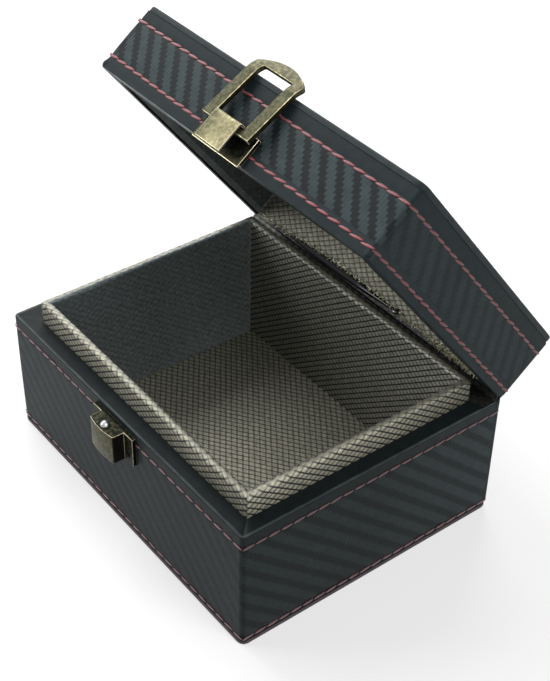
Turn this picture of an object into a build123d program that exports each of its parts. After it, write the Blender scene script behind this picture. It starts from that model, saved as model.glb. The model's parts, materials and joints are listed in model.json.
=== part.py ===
# A small lidded key box: leather-covered boards outside, a fabric-lined tray inside whose collar
# stands above the ledge, a leather hinge along the back, and a brass hasp and catch in front.
# Millimetres. The origin is the centre of the underside, +X is right, -Y is the front, +Z is up.
# The lid is drawn standing part open, with the hasp's loop swung up against the lid's top edge.
import os
from math import asin, atan2, cos, hypot, radians, sin, sqrt

from build123d import *

os.makedirs("parts", exist_ok=True)

# Overall form
box_width = 130.0             # outside the leather, left to right
box_depth = 101.6             # front leather to the outside of the back covers
base_height = 46.7            # table to the parting line, where the hinge lies
lid_height = 25.4             # parting line to the top of the closed lid
lid_opening = 52.6            # angle in degrees at which the lid stands
parting_gap = 0.3             # left between the lid's rim and the ledge when closed

# Leather, fabric and boards
leather = 0.8
fabric = 0.4
base_board = 4.8              # wall boards of the base
lid_wall = 5.0                # whole thickness of a lid wall, from leather to lining
lid_top_board = 2.0
tray_board = 2.0
tray_floor_board = 1.5
floor_board = 1.6
back_cover = 1.7              # leather-covered board on the back of the base and of the lid
bottom_cover = 1.5
top_cover = 2.0
cover_overhang = 0.3          # how far the bottom and top covers stand past the leather
cover_corner = 2.5            # plan radius of those covers' corners
cover_edge = 0.7              # rounding along their outer edges
wrap_corner = 1.5             # plan radius of the leather round the base's front corners
soft_edge = 0.5               # rounding where leather folds over an edge

# Tray: gaps between its collar and the wall boards, and how far the collar stands up
front_gap = 0.2
right_gap = 0.2
left_gap = 3.5
back_gap = 1.5
collar_height = 8.0           # above the parting line

# Stitching
thread_width = 0.7
thread_height = 0.3
base_upper_row = 4.5          # below the parting line
base_lower_row = 3.5          # above the table
lid_upper_row = 6.3           # below the top of the lid
lid_lower_row = 3.7           # above the parting line

# Hinge
hinge_bead = 0.6              # radius of the folded leather along the hinge line
hinge_flange = 4.0            # height of the leather glued to the base below the fold
hinge_clearance = 0.3
strap_length = 60.0
strap_width = 3.4
strap_inset = 18.7            # from the lid's left lining to the end of the strap
strap_rise = 0.2              # above the bottom of the lid's rim
tack_radius = 1.1
tack_height = 0.5
tack_edge = 0.25
tack_inset = 3.0              # from the strap's right end

# Hasp, stamped from brass sheet, and its loop
hasp_offset = -1.4            # centre of the hasp and the catch, from the box's middle
brass = 0.7                   # sheet thickness
plate_width = 22.3
plate_bottom = -0.6           # from the parting line
plate_top = 9.5
plate_stand = 1.5             # front face of the hasp plate from the leather
tongue_width = 11.7
tongue_slit = 0.3             # gap stamped on each side of the tongue
tongue_bottom = -0.4
fold_room = 1.95              # half the depth inside the fold that holds the loop's bar
fold_top = 9.9                # top of the fold above the parting line
fold_corner = 0.7             # rounding of the fold's corners, at the middle of the sheet
pivot_height = 7.5            # loop's axis above the parting line
bar_play = 0.4                # loop's axis in front of the fold's centre
loop_width = 22.0
loop_thickness = 2.0
loop_arm = 4.1                # width of each arm
loop_bar = 2.0                # width of the bar inside the fold
loop_reach = 21.0             # from the axis to the window's far edge
loop_band = 4.4               # width of the arched end at its middle
loop_arch = 17.6              # outside radius of the arched end
loop_shoulder = 1.2           # rounding where an arm meets the arch
loop_edge = 0.35
bend_start = 18.2             # from the axis to where the end bends back, as a lip to lift it by
bend_radius = 3.0
bend_angle = 20
window_corner = 0.5
loop_rest_gap = 0.1           # between the loop at rest and the top cover's edge

# Catch
catch_drop = 2.3              # top of the catch below the parting line
catch_height = 10.9
catch_width = 22.3
flange_stand = 1.4            # front face of the flanges from the leather
nose_clearance = 0.4          # each side of the nose inside the loop's window
nose_stand = 5.5              # nose's corners from the leather
nose_bulge = 0.8              # extra at the middle of its curved front
nose_edge = 0.6
stud_radius = 1.65
stud_height = 1.5
stud_stand = 4.0              # stud's axis from the leather
nail_radius = 0.45
nail_depth = 3.0              # below the leather's face
nail_head_radius = 0.9
nail_head_height = 0.35
nail_head_edge = 0.2
nail_reach = 8.6              # nails each side of the hasp's centre
catch_nail_rise = 3.0         # above the catch's lower edge
hasp_nail_rise = 3.6          # above the hasp plate's lower edge

# Places worked out from the sizes above
half_width = box_width / 2
half_depth = box_depth / 2
inner_width = half_width - leather
board_back = half_depth - back_cover
ledge_top = base_height - parting_gap / 2
board_top = ledge_top - leather
collar_left = left_gap + base_board - inner_width
collar_right = inner_width - base_board - right_gap
collar_front = leather + base_board + front_gap - half_depth
collar_back = board_back - base_board - back_gap
collar_top = base_height + collar_height
tray_wall = tray_board + 2 * fabric
tray_bottom = bottom_cover + floor_board
tray_floor_top = tray_bottom + tray_floor_board
rim_bottom = parting_gap / 2
rim_top = rim_bottom + leather
cover_bottom = lid_height - top_cover
lid_ceiling = cover_bottom - lid_top_board - fabric
lid_board = lid_wall - leather - fabric
hinge_gap = hinge_bead + hinge_clearance
catch_top = base_height - catch_drop
catch_bottom = catch_top - catch_height
pivot_stand = plate_stand + fold_room + bar_play
loop_end = loop_reach + loop_band
window_width = loop_width - 2 * loop_arm
nose_width = window_width - 2 * nose_clearance

# The loop leans back until it nearly meets the front edge of the top cover.
lean_run = lid_height - pivot_height
lean_depth = pivot_stand - cover_overhang
half_loop = loop_thickness / 2 + loop_rest_gap
loop_lean = atan2(lean_depth, lean_run) - asin(half_loop / hypot(lean_run, lean_depth))

# Frames: the lid's own, turned about the hinge line, then the front faces and the loop
opening = radians(lid_opening)
lid = Plane(origin=(0, half_depth, base_height), x_dir=(1, 0, 0), z_dir=(0, sin(opening), cos(opening)))
lid_face = Plane(
    origin=lid.from_local_coords(Vector(hasp_offset, -box_depth, 0)), x_dir=(1, 0, 0), z_dir=-lid.y_dir
)
base_face = Plane(origin=(hasp_offset, -half_depth, 0), x_dir=(1, 0, 0), z_dir=(0, -1, 0))
swing = opening + loop_lean
pivot = lid_face.from_local_coords(Vector(0, pivot_height, pivot_stand))
loop_frame = Plane(origin=pivot, x_dir=(1, 0, 0), z_dir=(0, -cos(swing), sin(swing)))


def save(piece, label):
    piece.part.label = label
    export_step(piece.part, f"parts/{label}.step")


def slab(frame, x, y, z, holes=None, inside=None):
    # a board between two values on each axis of a frame, with a recess or window if inside is given
    with BuildPart() as piece:
        with BuildSketch(frame.offset(z[0])):
            with Locations(((x[0] + x[1]) / 2, (y[0] + y[1]) / 2)):
                Rectangle(x[1] - x[0], y[1] - y[0])
        extrude(amount=z[1] - z[0])
        if inside:
            hollow_x, hollow_y, hollow_z = inside
            with BuildSketch(frame.offset(hollow_z[0])):
                with Locations(((hollow_x[0] + hollow_x[1]) / 2, (hollow_y[0] + hollow_y[1]) / 2)):
                    Rectangle(hollow_x[1] - hollow_x[0], hollow_y[1] - hollow_y[0])
            extrude(amount=hollow_z[1] - hollow_z[0], mode=Mode.SUBTRACT)
        if holes:
            add(holes.part, mode=Mode.SUBTRACT)
    return piece


def cover(frame, middle, z, outer):
    # a leather-covered board that stands a little past the walls all round, rounded on its outer face
    with BuildPart() as piece:
        with BuildSketch(frame.offset(z[0])):
            with Locations((0, middle)):
                RectangleRounded(
                    box_width + 2 * cover_overhang, box_depth + 2 * cover_overhang, cover_corner
                )
        extrude(amount=z[1] - z[0])
        faces = piece.faces().sort_by(Axis(frame.origin, frame.z_dir))
        fillet(faces[outer].edges(), cover_edge)
    return piece


def wrap(frame, front, back, z, thickness, corner, spread=0.0, soft=0.0, gap=0.0, holes=None):
    # a strip round the front and both sides, spread past the leather, with a gap behind the brass
    reach = half_width + spread
    with BuildPart() as piece:
        with BuildSketch(frame.offset(z[0])) as outline:
            with Locations((0, (front + back) / 2)):
                Rectangle(2 * reach, back - front)
            fillet(outline.vertices().group_by(Axis.Y)[0], corner)
        extrude(amount=z[1] - z[0])
        if soft:
            upper_rim = piece.faces().sort_by(Axis.Z)[-1].edges().sort_by(Axis.Y)[:-1]
            fillet(upper_rim, soft)
        with BuildSketch(frame.offset(z[0])) as hollow:
            with Locations((0, (front + thickness + back) / 2)):
                Rectangle(2 * (reach - thickness), back - front - thickness)
            if corner > thickness:
                fillet(hollow.vertices().group_by(Axis.Y)[0], corner - thickness)
        extrude(amount=z[1] - z[0], mode=Mode.SUBTRACT)
        if gap:
            with BuildSketch(frame.offset(z[0])):
                with Locations((hasp_offset, front)):
                    Rectangle(gap, 2 * thickness)
            extrude(amount=z[1] - z[0], mode=Mode.SUBTRACT)
        if holes:
            add(holes.part, mode=Mode.SUBTRACT)
    return piece


def nails(face, rise, stand):
    # two domed nails, one each side of the hasp's centre line, driven through the leather
    with BuildPart() as piece:
        with BuildSketch(face.offset(-nail_depth)):
            with Locations((-nail_reach, rise), (nail_reach, rise)):
                Circle(nail_radius)
        extrude(amount=nail_depth + stand)
        with BuildSketch(face.offset(stand)):
            with Locations((-nail_reach, rise), (nail_reach, rise)):
                Circle(nail_head_radius)
        heads = extrude(amount=nail_head_height)
        crowns = heads.faces().sort_by(Axis(face.origin, face.z_dir))[-2:]
        fillet(crowns.edges(), nail_head_edge)
    return piece


# Base: nails first, because the leather and the boards are pierced by them
catch_nails = nails(base_face, catch_bottom + catch_nail_rise, flange_stand)
save(catch_nails, "catch_nails")

save(cover(Plane.XY, 0, (0, bottom_cover), 0), "bottom_cover")

board_inner = inner_width - base_board
board_front = leather - half_depth
front_inner = board_front + base_board
back_inner = board_back - base_board
wall = (bottom_cover, board_top)
base_boards = {
    "base_front_board": ((-inner_width, inner_width), (board_front, front_inner), wall),
    "base_back_board": ((-inner_width, inner_width), (back_inner, board_back), wall),
    "base_left_board": ((-inner_width, -board_inner), (front_inner, back_inner), wall),
    "base_right_board": ((board_inner, inner_width), (front_inner, back_inner), wall),
    "base_floor_board": ((-board_inner, board_inner), (front_inner, back_inner), (bottom_cover, tray_bottom)),
}
for label, (x, y, z) in base_boards.items():
    with BuildPart() as board:
        add(slab(Plane.XY, x, y, z, holes=catch_nails).part)
        if label == "base_front_board":
            upright = board.edges().filter_by(Axis.Z).group_by(Axis.Y)[0]
            fillet(upright.filter_by(lambda edge: abs(edge.center().X) > board_inner), wrap_corner - leather)
    save(board, label)

base_leather = wrap(
    Plane.XY,
    -half_depth,
    board_back,
    (bottom_cover, ledge_top),
    leather,
    wrap_corner,
    soft=soft_edge,
    holes=catch_nails,
)
save(base_leather, "base_leather_wrap")

# leather folded over the wall tops, from the outside to the collar
ledge = slab(
    Plane.XY,
    (-inner_width, inner_width),
    (board_front, collar_back),
    (board_top, ledge_top),
    inside=((collar_left, collar_right), (collar_front, half_depth), (board_top, ledge_top)),
)
with BuildPart() as ledge_trim:
    add(ledge.part)
    upright = ledge_trim.edges().filter_by(Axis.Z).group_by(Axis.Y)[0]
    fillet(upright, wrap_corner - leather)
save(ledge_trim, "ledge_trim")

# the back cover has a rebate for the leather hinge, whose bead lies on the hinge line
with BuildPart() as base_back_cover:
    with BuildSketch(Plane.YZ):
        with Locations((board_back, bottom_cover)):
            Rectangle(back_cover, ledge_top - bottom_cover, align=(Align.MIN, Align.MIN))
        with Locations((half_depth, base_height)):
            Rectangle(2 * hinge_bead, 2 * hinge_flange, mode=Mode.SUBTRACT)
    extrude(amount=half_width, both=True)
    upright = base_back_cover.edges().filter_by(Axis.Z).group_by(Axis.Y)[-1]
    fillet(upright.filter_by(lambda edge: edge.length > hinge_flange), cover_edge)
save(base_back_cover, "base_back_cover")

with BuildPart() as hinge_leather:
    with BuildSketch(Plane.YZ):
        with Locations((half_depth, base_height)):
            Circle(hinge_bead)
            Rectangle(hinge_bead, hinge_flange, align=(Align.MAX, Align.MAX))
    extrude(amount=half_width - cover_edge, both=True)
save(hinge_leather, "hinge_leather")

# fabric across the back of the ledge, where the hinge is lined
hinge_lining = slab(Plane.XY, (-inner_width, inner_width), (collar_back, board_back), (board_top, ledge_top))
save(hinge_lining, "hinge_lining")

# Tray: four boards and a floor, each dressed in fabric
inner_left = collar_left + tray_wall
inner_right = collar_right - tray_wall
inner_front = collar_front + tray_wall
inner_back = collar_back - tray_wall
long_walls = {
    "front": ((collar_left, collar_right), (collar_front, inner_front)),
    "back": ((collar_left, collar_right), (inner_back, collar_back)),
}
short_walls = {
    "left": ((collar_left, inner_left), (inner_front, inner_back)),
    "right": ((inner_right, collar_right), (inner_front, inner_back)),
}
for side, (x, y) in (long_walls | short_walls).items():
    # the fabric goes over both faces and the rim, and round the ends of the two long walls
    board_x = (x[0] + fabric, x[1] - fabric)
    board_y = (y[0] + fabric, y[1] - fabric) if side in long_walls else y
    board_top_z = collar_top - fabric
    save(slab(Plane.XY, board_x, board_y, (tray_bottom, board_top_z)), f"tray_{side}_board")
    hollow = (board_x, board_y, (tray_bottom, board_top_z))
    save(slab(Plane.XY, x, y, (tray_bottom, collar_top), inside=hollow), f"tray_{side}_lining")

floor = ((inner_left, inner_right), (inner_front, inner_back))
save(slab(Plane.XY, *floor, (tray_bottom, tray_floor_top)), "tray_floor_board")
save(slab(Plane.XY, *floor, (tray_floor_top, tray_floor_top + fabric)), "tray_floor_lining")

# Catch: one folded sheet, a flange each side of a nose with a closed top and a ball stud on it
catch_plan = Plane(origin=(hasp_offset, -half_depth, catch_bottom))


def catch_outline(inset):
    # the catch in plan, drawn outwards from the leather, all round smaller by the inset
    side = catch_width / 2 - inset
    nose = nose_width / 2 - inset
    flange = inset - flange_stand
    corner = inset - nose_stand
    with BuildSketch(catch_plan) as outline:
        with BuildLine():
            Polyline((-side, 0), (-side, flange), (-nose, flange), (-nose, corner))
            ThreePointArc((-nose, corner), (0, corner - nose_bulge), (nose, corner))
            Polyline((nose, corner), (nose, flange), (side, flange), (side, 0), (-side, 0))
        make_face()
        fillet(outline.vertices().group_by(Axis.Y)[0], nose_edge - inset / 2)
    return outline.sketch


with BuildPart() as catch_body:
    extrude(catch_outline(0), amount=catch_height)
    extrude(catch_outline(brass), amount=catch_height - brass, mode=Mode.SUBTRACT)
    add(catch_nails.part, mode=Mode.SUBTRACT)
save(catch_body, "catch_body")

with BuildPart() as catch_stud:
    with Locations((hasp_offset, -half_depth - stud_stand, catch_top + stud_height - stud_radius)):
        Sphere(stud_radius)
    split(bisect_by=Plane.XY.offset(catch_top), keep=Keep.TOP)
save(catch_stud, "catch_stud")

# Lid, drawn in its own frame: x across, y from 0 at the hinge to -box_depth, z up from the parting line
hasp_nails = nails(lid_face, plate_bottom + hasp_nail_rise, plate_stand)
save(hasp_nails, "hasp_nails")

save(cover(lid, -half_depth, (cover_bottom, lid_height), -1), "lid_top_cover")

face_back = leather - box_depth
lid_inner = half_width - lid_wall
lid_front_inner = lid_wall - box_depth
lid_board_inner = inner_width - lid_board
board_z = (rim_top, cover_bottom)
skin_z = (rim_bottom, cover_bottom)
lining_z = (rim_top, lid_ceiling)
side_y = (face_back + lid_board, fabric - lid_wall)
lid_slabs = {
    "lid_front_leather": ((-half_width, half_width), (-box_depth, face_back), skin_z),
    "lid_left_leather": ((-half_width, -inner_width), (face_back, -back_cover), skin_z),
    "lid_right_leather": ((inner_width, half_width), (face_back, -back_cover), skin_z),
    "lid_front_board": ((-inner_width, inner_width), (face_back, face_back + lid_board), board_z),
    "lid_back_board": ((-inner_width, inner_width), (fabric - lid_wall, -back_cover), board_z),
    "lid_left_board": ((-inner_width, -lid_board_inner), side_y, board_z),
    "lid_right_board": ((lid_board_inner, inner_width), side_y, board_z),
    "lid_top_board": ((-lid_board_inner, lid_board_inner), side_y, (lid_ceiling + fabric, cover_bottom)),
    "lid_ceiling_lining": ((-lid_board_inner, lid_board_inner), side_y, (lid_ceiling, lid_ceiling + fabric)),
    "lid_front_lining": ((-lid_board_inner, lid_board_inner), (side_y[0], lid_front_inner), lining_z),
    "lid_back_lining": ((-lid_board_inner, lid_board_inner), (-lid_wall, side_y[1]), lining_z),
    "lid_left_lining": ((-lid_board_inner, -lid_inner), (lid_front_inner, -lid_wall), lining_z),
    "lid_right_lining": ((lid_inner, lid_board_inner), (lid_front_inner, -lid_wall), lining_z),
    "lid_back_cover": ((-half_width, half_width), (-back_cover, 0), (hinge_gap, cover_bottom)),
}
for label, (x, y, z) in lid_slabs.items():
    save(slab(lid, x, y, z, holes=hasp_nails), label)

lid_rim_trim = slab(
    lid,
    (-inner_width, inner_width),
    (face_back, -back_cover),
    (rim_bottom, rim_top),
    inside=((-lid_inner, lid_inner), (lid_front_inner, -lid_wall), (rim_bottom, rim_top)),
)
save(lid_rim_trim, "lid_rim_trim")

# a narrow strap of glossy leather along the foot of the lid's back lining, tacked at its right end
strap_x = (strap_inset - lid_inner, strap_inset - lid_inner + strap_length)
strap_face = Plane(origin=lid.from_local_coords(Vector(0, -lid_wall, 0)), x_dir=(1, 0, 0), z_dir=-lid.y_dir)
strap_middle = rim_bottom + strap_rise + strap_width / 2
with BuildPart() as hinge_strap:
    with BuildSketch(strap_face):
        with Locations(((strap_x[0] + strap_x[1]) / 2, strap_middle)):
            SlotOverall(strap_length, strap_width)
    extrude(amount=leather)
save(hinge_strap, "hinge_strap")

with BuildPart() as strap_tack:
    with BuildSketch(strap_face.offset(leather)):
        with Locations((strap_x[1] - tack_inset, strap_middle)):
            Circle(tack_radius)
    extrude(amount=tack_height)
    dome = strap_tack.faces().sort_by(Axis(strap_face.origin, strap_face.z_dir))[-1]
    fillet(dome.edges(), tack_edge)
save(strap_tack, "strap_tack")

# Stitching: rows of thread that stand on the leather and stop behind the brass
base_stitching = {
    "base_upper_stitching": (base_height - base_upper_row, catch_width + thread_width),
    "base_lower_stitching": (base_lower_row, 0),
}
for label, (height, gap) in base_stitching.items():
    row = (height - thread_width / 2, height + thread_width / 2)
    front = -half_depth - thread_height
    corner = wrap_corner + thread_height
    thread = wrap(Plane.XY, front, board_back, row, thread_height, corner, spread=thread_height, gap=gap)
    save(thread, label)

lid_stitching = {
    "lid_upper_stitching": (lid_height - lid_upper_row, 0),
    "lid_lower_stitching": (lid_lower_row, plate_width + thread_width),
}
for label, (height, gap) in lid_stitching.items():
    row = (height - thread_width / 2, height + thread_width / 2)
    front = -box_depth - thread_height
    thread = wrap(lid, front, -back_cover, row, thread_height, thread_height, spread=thread_height, gap=gap)
    save(thread, label)

# Hasp plate: a shallow pan whose tongue is folded forwards over the loop's bar
tongue_side = Plane(origin=lid_face.origin, x_dir=lid_face.z_dir, z_dir=(-1, 0, 0))
sheet_middle = plate_stand - brass / 2
leaf_middle = plate_stand + 2 * fold_room + brass / 2
with BuildPart() as hasp_plate:
    with BuildSketch(lid_face):
        with Locations((0, plate_bottom)):
            Rectangle(plate_width, plate_top - plate_bottom, align=(Align.CENTER, Align.MIN))
        with Locations((0, pivot_height)):
            Rectangle(
                tongue_width + 2 * tongue_slit,
                plate_top - pivot_height,
                align=(Align.CENTER, Align.MIN),
                mode=Mode.SUBTRACT,
            )
    extrude(amount=plate_stand)
    with BuildSketch(lid_face):
        Rectangle(plate_width - 2 * brass, 2 * plate_top)
        with Locations((0, rim_bottom)):
            Rectangle(plate_width, plate_top, align=(Align.CENTER, Align.MAX))
    extrude(amount=plate_stand - brass, mode=Mode.SUBTRACT)
    with BuildSketch(tongue_side):
        with BuildLine():
            FilletPolyline(
                (sheet_middle, plate_bottom),
                (sheet_middle, fold_top - brass / 2),
                (leaf_middle, fold_top - brass / 2),
                (leaf_middle, tongue_bottom),
                radius=fold_corner,
            )
        trace(line_width=brass)
    extrude(amount=tongue_width / 2, both=True)
    add(hasp_nails.part, mode=Mode.SUBTRACT)
save(hasp_plate, "hasp_plate")

# Loop: a stamped frame with an arched end bent back, whose lower bar turns inside the hasp plate's fold
half_loop_width = loop_width / 2
arch_drop = loop_arch - sqrt(loop_arch**2 - half_loop_width**2)
shoulder = loop_end - arch_drop
loop_side = Plane(origin=pivot, x_dir=loop_frame.y_dir, z_dir=(1, 0, 0))
with BuildPart() as hasp_loop:
    with BuildSketch(loop_frame) as loop_outline:
        with BuildLine():
            Polyline(
                (-half_loop_width, shoulder),
                (-half_loop_width, -loop_bar / 2),
                (half_loop_width, -loop_bar / 2),
                (half_loop_width, shoulder),
            )
            ThreePointArc((-half_loop_width, shoulder), (0, loop_end), (half_loop_width, shoulder))
        make_face()
        fillet(loop_outline.vertices().group_by(Axis.Y)[-1], loop_shoulder)
        with Locations((0, (loop_bar / 2 + loop_reach) / 2)):
            RectangleRounded(window_width, loop_reach - loop_bar / 2, window_corner, mode=Mode.SUBTRACT)
    extrude(amount=loop_end, both=True)
    with BuildSketch(loop_side):
        with BuildLine():
            arms = Line((-loop_bar, 0), (bend_start, 0))
            bend = JernArc(start=arms @ 1, tangent=arms % 1, radius=bend_radius, arc_size=-bend_angle)
            Line(bend @ 1, bend @ 1 + bend % 1 * loop_end)
        trace(line_width=loop_thickness)
    extrude(amount=loop_width, both=True, mode=Mode.INTERSECT)
    cut_faces = hasp_loop.faces().filter_by(lambda face: abs(face.normal_at().dot(loop_frame.z_dir)) < 0.01)
    broad_faces = hasp_loop.faces() - cut_faces
    fillet(cut_faces.edges() & broad_faces.edges(), loop_edge)
save(hasp_loop, "hasp_loop")
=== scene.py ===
# A small lidded key box in embossed black leatherette, with a tray lined in shielding fabric.
# Lengths are metres. UV maps, and the pattern sizes that read them, are in millimetres.
import json
from math import cos, pi, radians, sin

import bmesh
import bpy
import numpy as np
from mathutils import Matrix, Vector


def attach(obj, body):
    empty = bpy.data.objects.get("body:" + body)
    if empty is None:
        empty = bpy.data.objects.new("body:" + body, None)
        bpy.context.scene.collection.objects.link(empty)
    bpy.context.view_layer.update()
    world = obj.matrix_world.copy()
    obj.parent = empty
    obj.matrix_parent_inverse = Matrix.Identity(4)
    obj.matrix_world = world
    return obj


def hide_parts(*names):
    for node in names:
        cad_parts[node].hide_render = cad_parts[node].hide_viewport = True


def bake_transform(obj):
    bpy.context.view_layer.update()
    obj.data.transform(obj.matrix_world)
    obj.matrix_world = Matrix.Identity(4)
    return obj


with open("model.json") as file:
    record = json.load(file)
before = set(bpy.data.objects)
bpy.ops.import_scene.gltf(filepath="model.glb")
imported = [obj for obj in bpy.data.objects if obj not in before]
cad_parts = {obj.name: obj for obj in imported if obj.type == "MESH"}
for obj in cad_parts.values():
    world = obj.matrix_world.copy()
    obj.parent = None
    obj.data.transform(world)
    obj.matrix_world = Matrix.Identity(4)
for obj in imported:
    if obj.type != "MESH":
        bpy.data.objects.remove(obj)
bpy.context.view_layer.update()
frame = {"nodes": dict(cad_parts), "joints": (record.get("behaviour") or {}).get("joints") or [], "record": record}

mm = 0.001
nodes = frame["nodes"]
joints = {joint["name"]: joint for joint in frame["joints"]}

# The lid's own space: x to the right, y from 0 at the hinge to the front (negative), z up from its rim
hingeAt = Vector(joints["lid_hinge"]["pos_m"])
lidOpening = -radians(joints["lid_hinge"]["range_deg"][0])
lidSpace = Matrix.Translation(hingeAt) @ Matrix.Rotation(-lidOpening, 4, "X")
boxSpace = Matrix()
# these turn a board's face to the back, and down
faceBack = Matrix(((-1, 0, 0, 0), (0, 0, 1, 0), (0, 1, 0, 0), (0, 0, 0, 1)))
faceDown = Matrix(((1, 0, 0, 0), (0, -1, 0, 0), (0, 0, -1, 0), (0, 0, 0, 1)))


def nodeBox(name, space=boxSpace):
    # lowest and highest corner of a CAD node, measured in a space of its own
    mesh = nodes[name].data
    flat = np.empty(len(mesh.vertices) * 3, np.float32)
    mesh.vertices.foreach_get("co", flat)
    back = np.array(space.inverted())
    local = flat.reshape(-1, 3) @ back[:3, :3].T + back[:3, 3]
    return local.min(axis=0), local.max(axis=0)


def add(tree, kind, links=(), **settings):
    # one node with its settings; its links, by name or in order, are values, sockets or whole nodes
    made = tree.nodes.new(kind if "Node" in kind else "ShaderNode" + kind)
    for name, value in settings.items():
        setattr(made, name, value)
    for key, value in links.items() if isinstance(links, dict) else enumerate(links):
        if isinstance(value, bpy.types.Node):
            value = next(output for output in value.outputs if output.enabled)
        if isinstance(value, bpy.types.NodeSocket):
            tree.links.new(value, made.inputs[key])
        else:
            made.inputs[key].default_value = value
    return made


def linear(hexColour):
    # sRGB hex to the linear colour that a node wants
    values = [int(hexColour[i : i + 2], 16) / 255 for i in (1, 3, 5)]
    return (*[v / 12.92 if v <= 0.04045 else ((v + 0.055) / 1.055) ** 2.4 for v in values], 1.0)


def newMaterial(name, *fields):
    # an empty material, its tree, and the values that it reads from the mesh's own fields
    material = bpy.data.materials.new(name)
    material.use_nodes = True
    tree = material.node_tree
    tree.nodes.clear()
    read = [add(tree, "Attribute", attribute_name=field).outputs["Fac"] for field in fields]
    return material, tree, read


def painted(tree, base, layers, shade=None):
    # colours laid one over another, each where its share says, then darkened or lightened by a shade
    colour = linear(base)
    for share, over in layers:
        over = linear(over) if isinstance(over, str) else over
        colour = add(tree, "Mix", {0: share, 6: colour, 7: over}, data_type="RGBA")
    if shade is None:
        return colour
    return add(tree, "Mix", {0: 1.0, 6: colour, 7: shade}, data_type="RGBA", blend_type="MULTIPLY")


def mottled(tree, place, dim, spec):
    # an uneven tone, with the painted shade and light that the mesh's own field dim gives
    noise = {"Vector": place, "Scale": 1 / (spec["mottleMm"] * mm), "Detail": spec["mottleDetail"]}
    shade = add(tree, "MapRange", (add(tree, "TexNoise", noise), *spec["mottle"]))
    kept = add(tree, "Math", (1.0, dim), operation="SUBTRACT")
    return add(tree, "Math", (shade, kept), operation="MULTIPLY")


def surfaced(material, values):
    # closes a material with its surface
    shader = add(material.node_tree, "BsdfPrincipled", values)
    add(material.node_tree, "OutputMaterial", {"Surface": shader})
    return material


# PVC leatherette: a calendered film on cloth, embossed with a 2 by 2 twill of raised bars.
# The bars that run up are painted lighter than those that run across: painted sheen and shade
# for the light that they catch under the matt top coat.
# Where four numbers stand together, the first two are a range of the pattern and the others what it becomes.
twill = {
    "period": (7.168, 8.197),  # mm across and up; a bar takes up a little more than half of it upwards
    "bars": 6,               # side by side in one period
    "start": 0.395,          # where the pattern begins, as a share of its period
    "ends": (-0.4, 0.1),     # of a bar, on a sine wave over the period
    "bulge": (0.0, 0.35, 0.75, 1.0),  # of a bar, from its side to its middle; its painted shading follows it
    # painted sheen on the bars that run up, painted shade on the crosses
    "bar": "#394446",
    "cross": "#171c1e",
    "plain": "#1d2628",      # where the film is folded or pressed flat under the stitching
    "edge": "#a9b4b6",       # painted highlight along folds, where the rounded fold catches light
    "mottleMm": 3.0,
    "mottleDetail": 3.0,
    "mottle": (0.3, 0.7, 0.82, 1.18),
    "reliefMm": 0.05,
    "grainMm": 0.55,         # pore spacing of the film
    "grainReliefMm": 0.06,
    "roughness": 0.5,
    "shine": 0.12,
}


def leatherMaterial(name, spec):
    material, tree, (emboss, edge, dim, matt) = newMaterial(name, "emboss", "edge", "dim", "matt")
    axes = add(tree, "SeparateXYZ", [add(tree, "UVMap", uv_map="millimetres")]).outputs
    periodAcross, periodUp = spec["period"]
    across = add(tree, "Math", (axes[0], periodAcross / spec["bars"]), operation="DIVIDE")
    upward = add(tree, "Math", (axes[1], 1 / periodUp, spec["start"]), operation="MULTIPLY_ADD")
    # each bar starts a share of the period lower than the bar on its left
    column = add(tree, "Math", [across], operation="FLOOR")
    phase = add(tree, "Math", (column, 1 / spec["bars"], upward), operation="MULTIPLY_ADD")
    turn = add(tree, "Math", (phase, 2 * pi), operation="MULTIPLY")
    wave = add(tree, "Math", [turn], operation="SINE")
    isBar = add(tree, "MapRange", (wave, *spec["ends"]), interpolation_type="SMOOTHSTEP")
    acrossBar = add(tree, "Math", (across, 0.5), operation="PINGPONG")
    bulge = add(tree, "MapRange", (acrossBar, *spec["bulge"]), interpolation_type="SMOOTHSTEP")
    relief = add(tree, "Math", (isBar, bulge), operation="MULTIPLY")
    # colour: painted sheen on the bars and painted shade on the crosses, then the plain film,
    # then a painted highlight along the folds, all mottled
    place = add(tree, "TexCoord").outputs["Object"]
    bars = painted(tree, spec["cross"], [(relief, spec["bar"])])
    layers = [(emboss, bars), (edge, spec["edge"])]
    colour = painted(tree, spec["plain"], layers, mottled(tree, place, dim, spec))
    # relief: the embossing, with the pores of the film on top
    embossed = add(tree, "Math", (relief, emboss), operation="MULTIPLY")
    pressing = {"Height": embossed, "Distance": spec["reliefMm"] * mm, "Strength": 1.0}
    pressed = add(tree, "Bump", pressing)
    grain = {"Vector": place, "Scale": 1 / (spec["grainMm"] * mm)}
    pores = add(tree, "TexVoronoi", grain, feature="SMOOTH_F1")
    pitting = {"Height": pores, "Distance": spec["grainReliefMm"] * mm, "Strength": 0.7, "Normal": pressed}
    grained = add(tree, "Bump", pitting)
    rough = add(tree, "Math", (matt, spec["roughness"]), operation="ADD")
    values = {"Base Color": colour, "Roughness": rough, "Normal": grained, "IOR": 1.46}
    return surfaced(material, {**values, "Specular IOR Level": spec["shine"]})


# Shielding fabric: nickel-plated polyester ripstop, a grey-beige metallic cloth with a grid of
# slanting darker threads; the plating gives it a soft metallic sheen.
shieldCloth = {
    "gridAcross": 3.35,      # mm between grid lines, along the wall
    "gridUp": 2.42,
    "strongLine": (0.07, 0.2, 1.0, 0.0),  # the rising grid lines, by the distance from their middle
    "weakLine": (0.07, 0.22, 0.85, 0.0),  # and the falling ones
    "ribMm": 0.42,           # the threads are finer than this; drawn so that they show
    "ribHeight": 0.25,       # over the depth of the grid lines
    "cloth": "#989687",
    "gridStrong": "#1e1d1a",
    "gridWeak": "#35342e",
    "coolTint": (0.64, 0.76, 1.0, 1.0),  # painted cool shade, a greyer blue, where the mesh's field for it is 1
    "mottleMm": 1.2,
    "mottleDetail": 4.0,
    "mottle": (0.32, 0.68, 0.7, 1.2),
    "metallic": 0.55,
    "roughness": 0.5,
    "reliefMm": 0.09,
}


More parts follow.
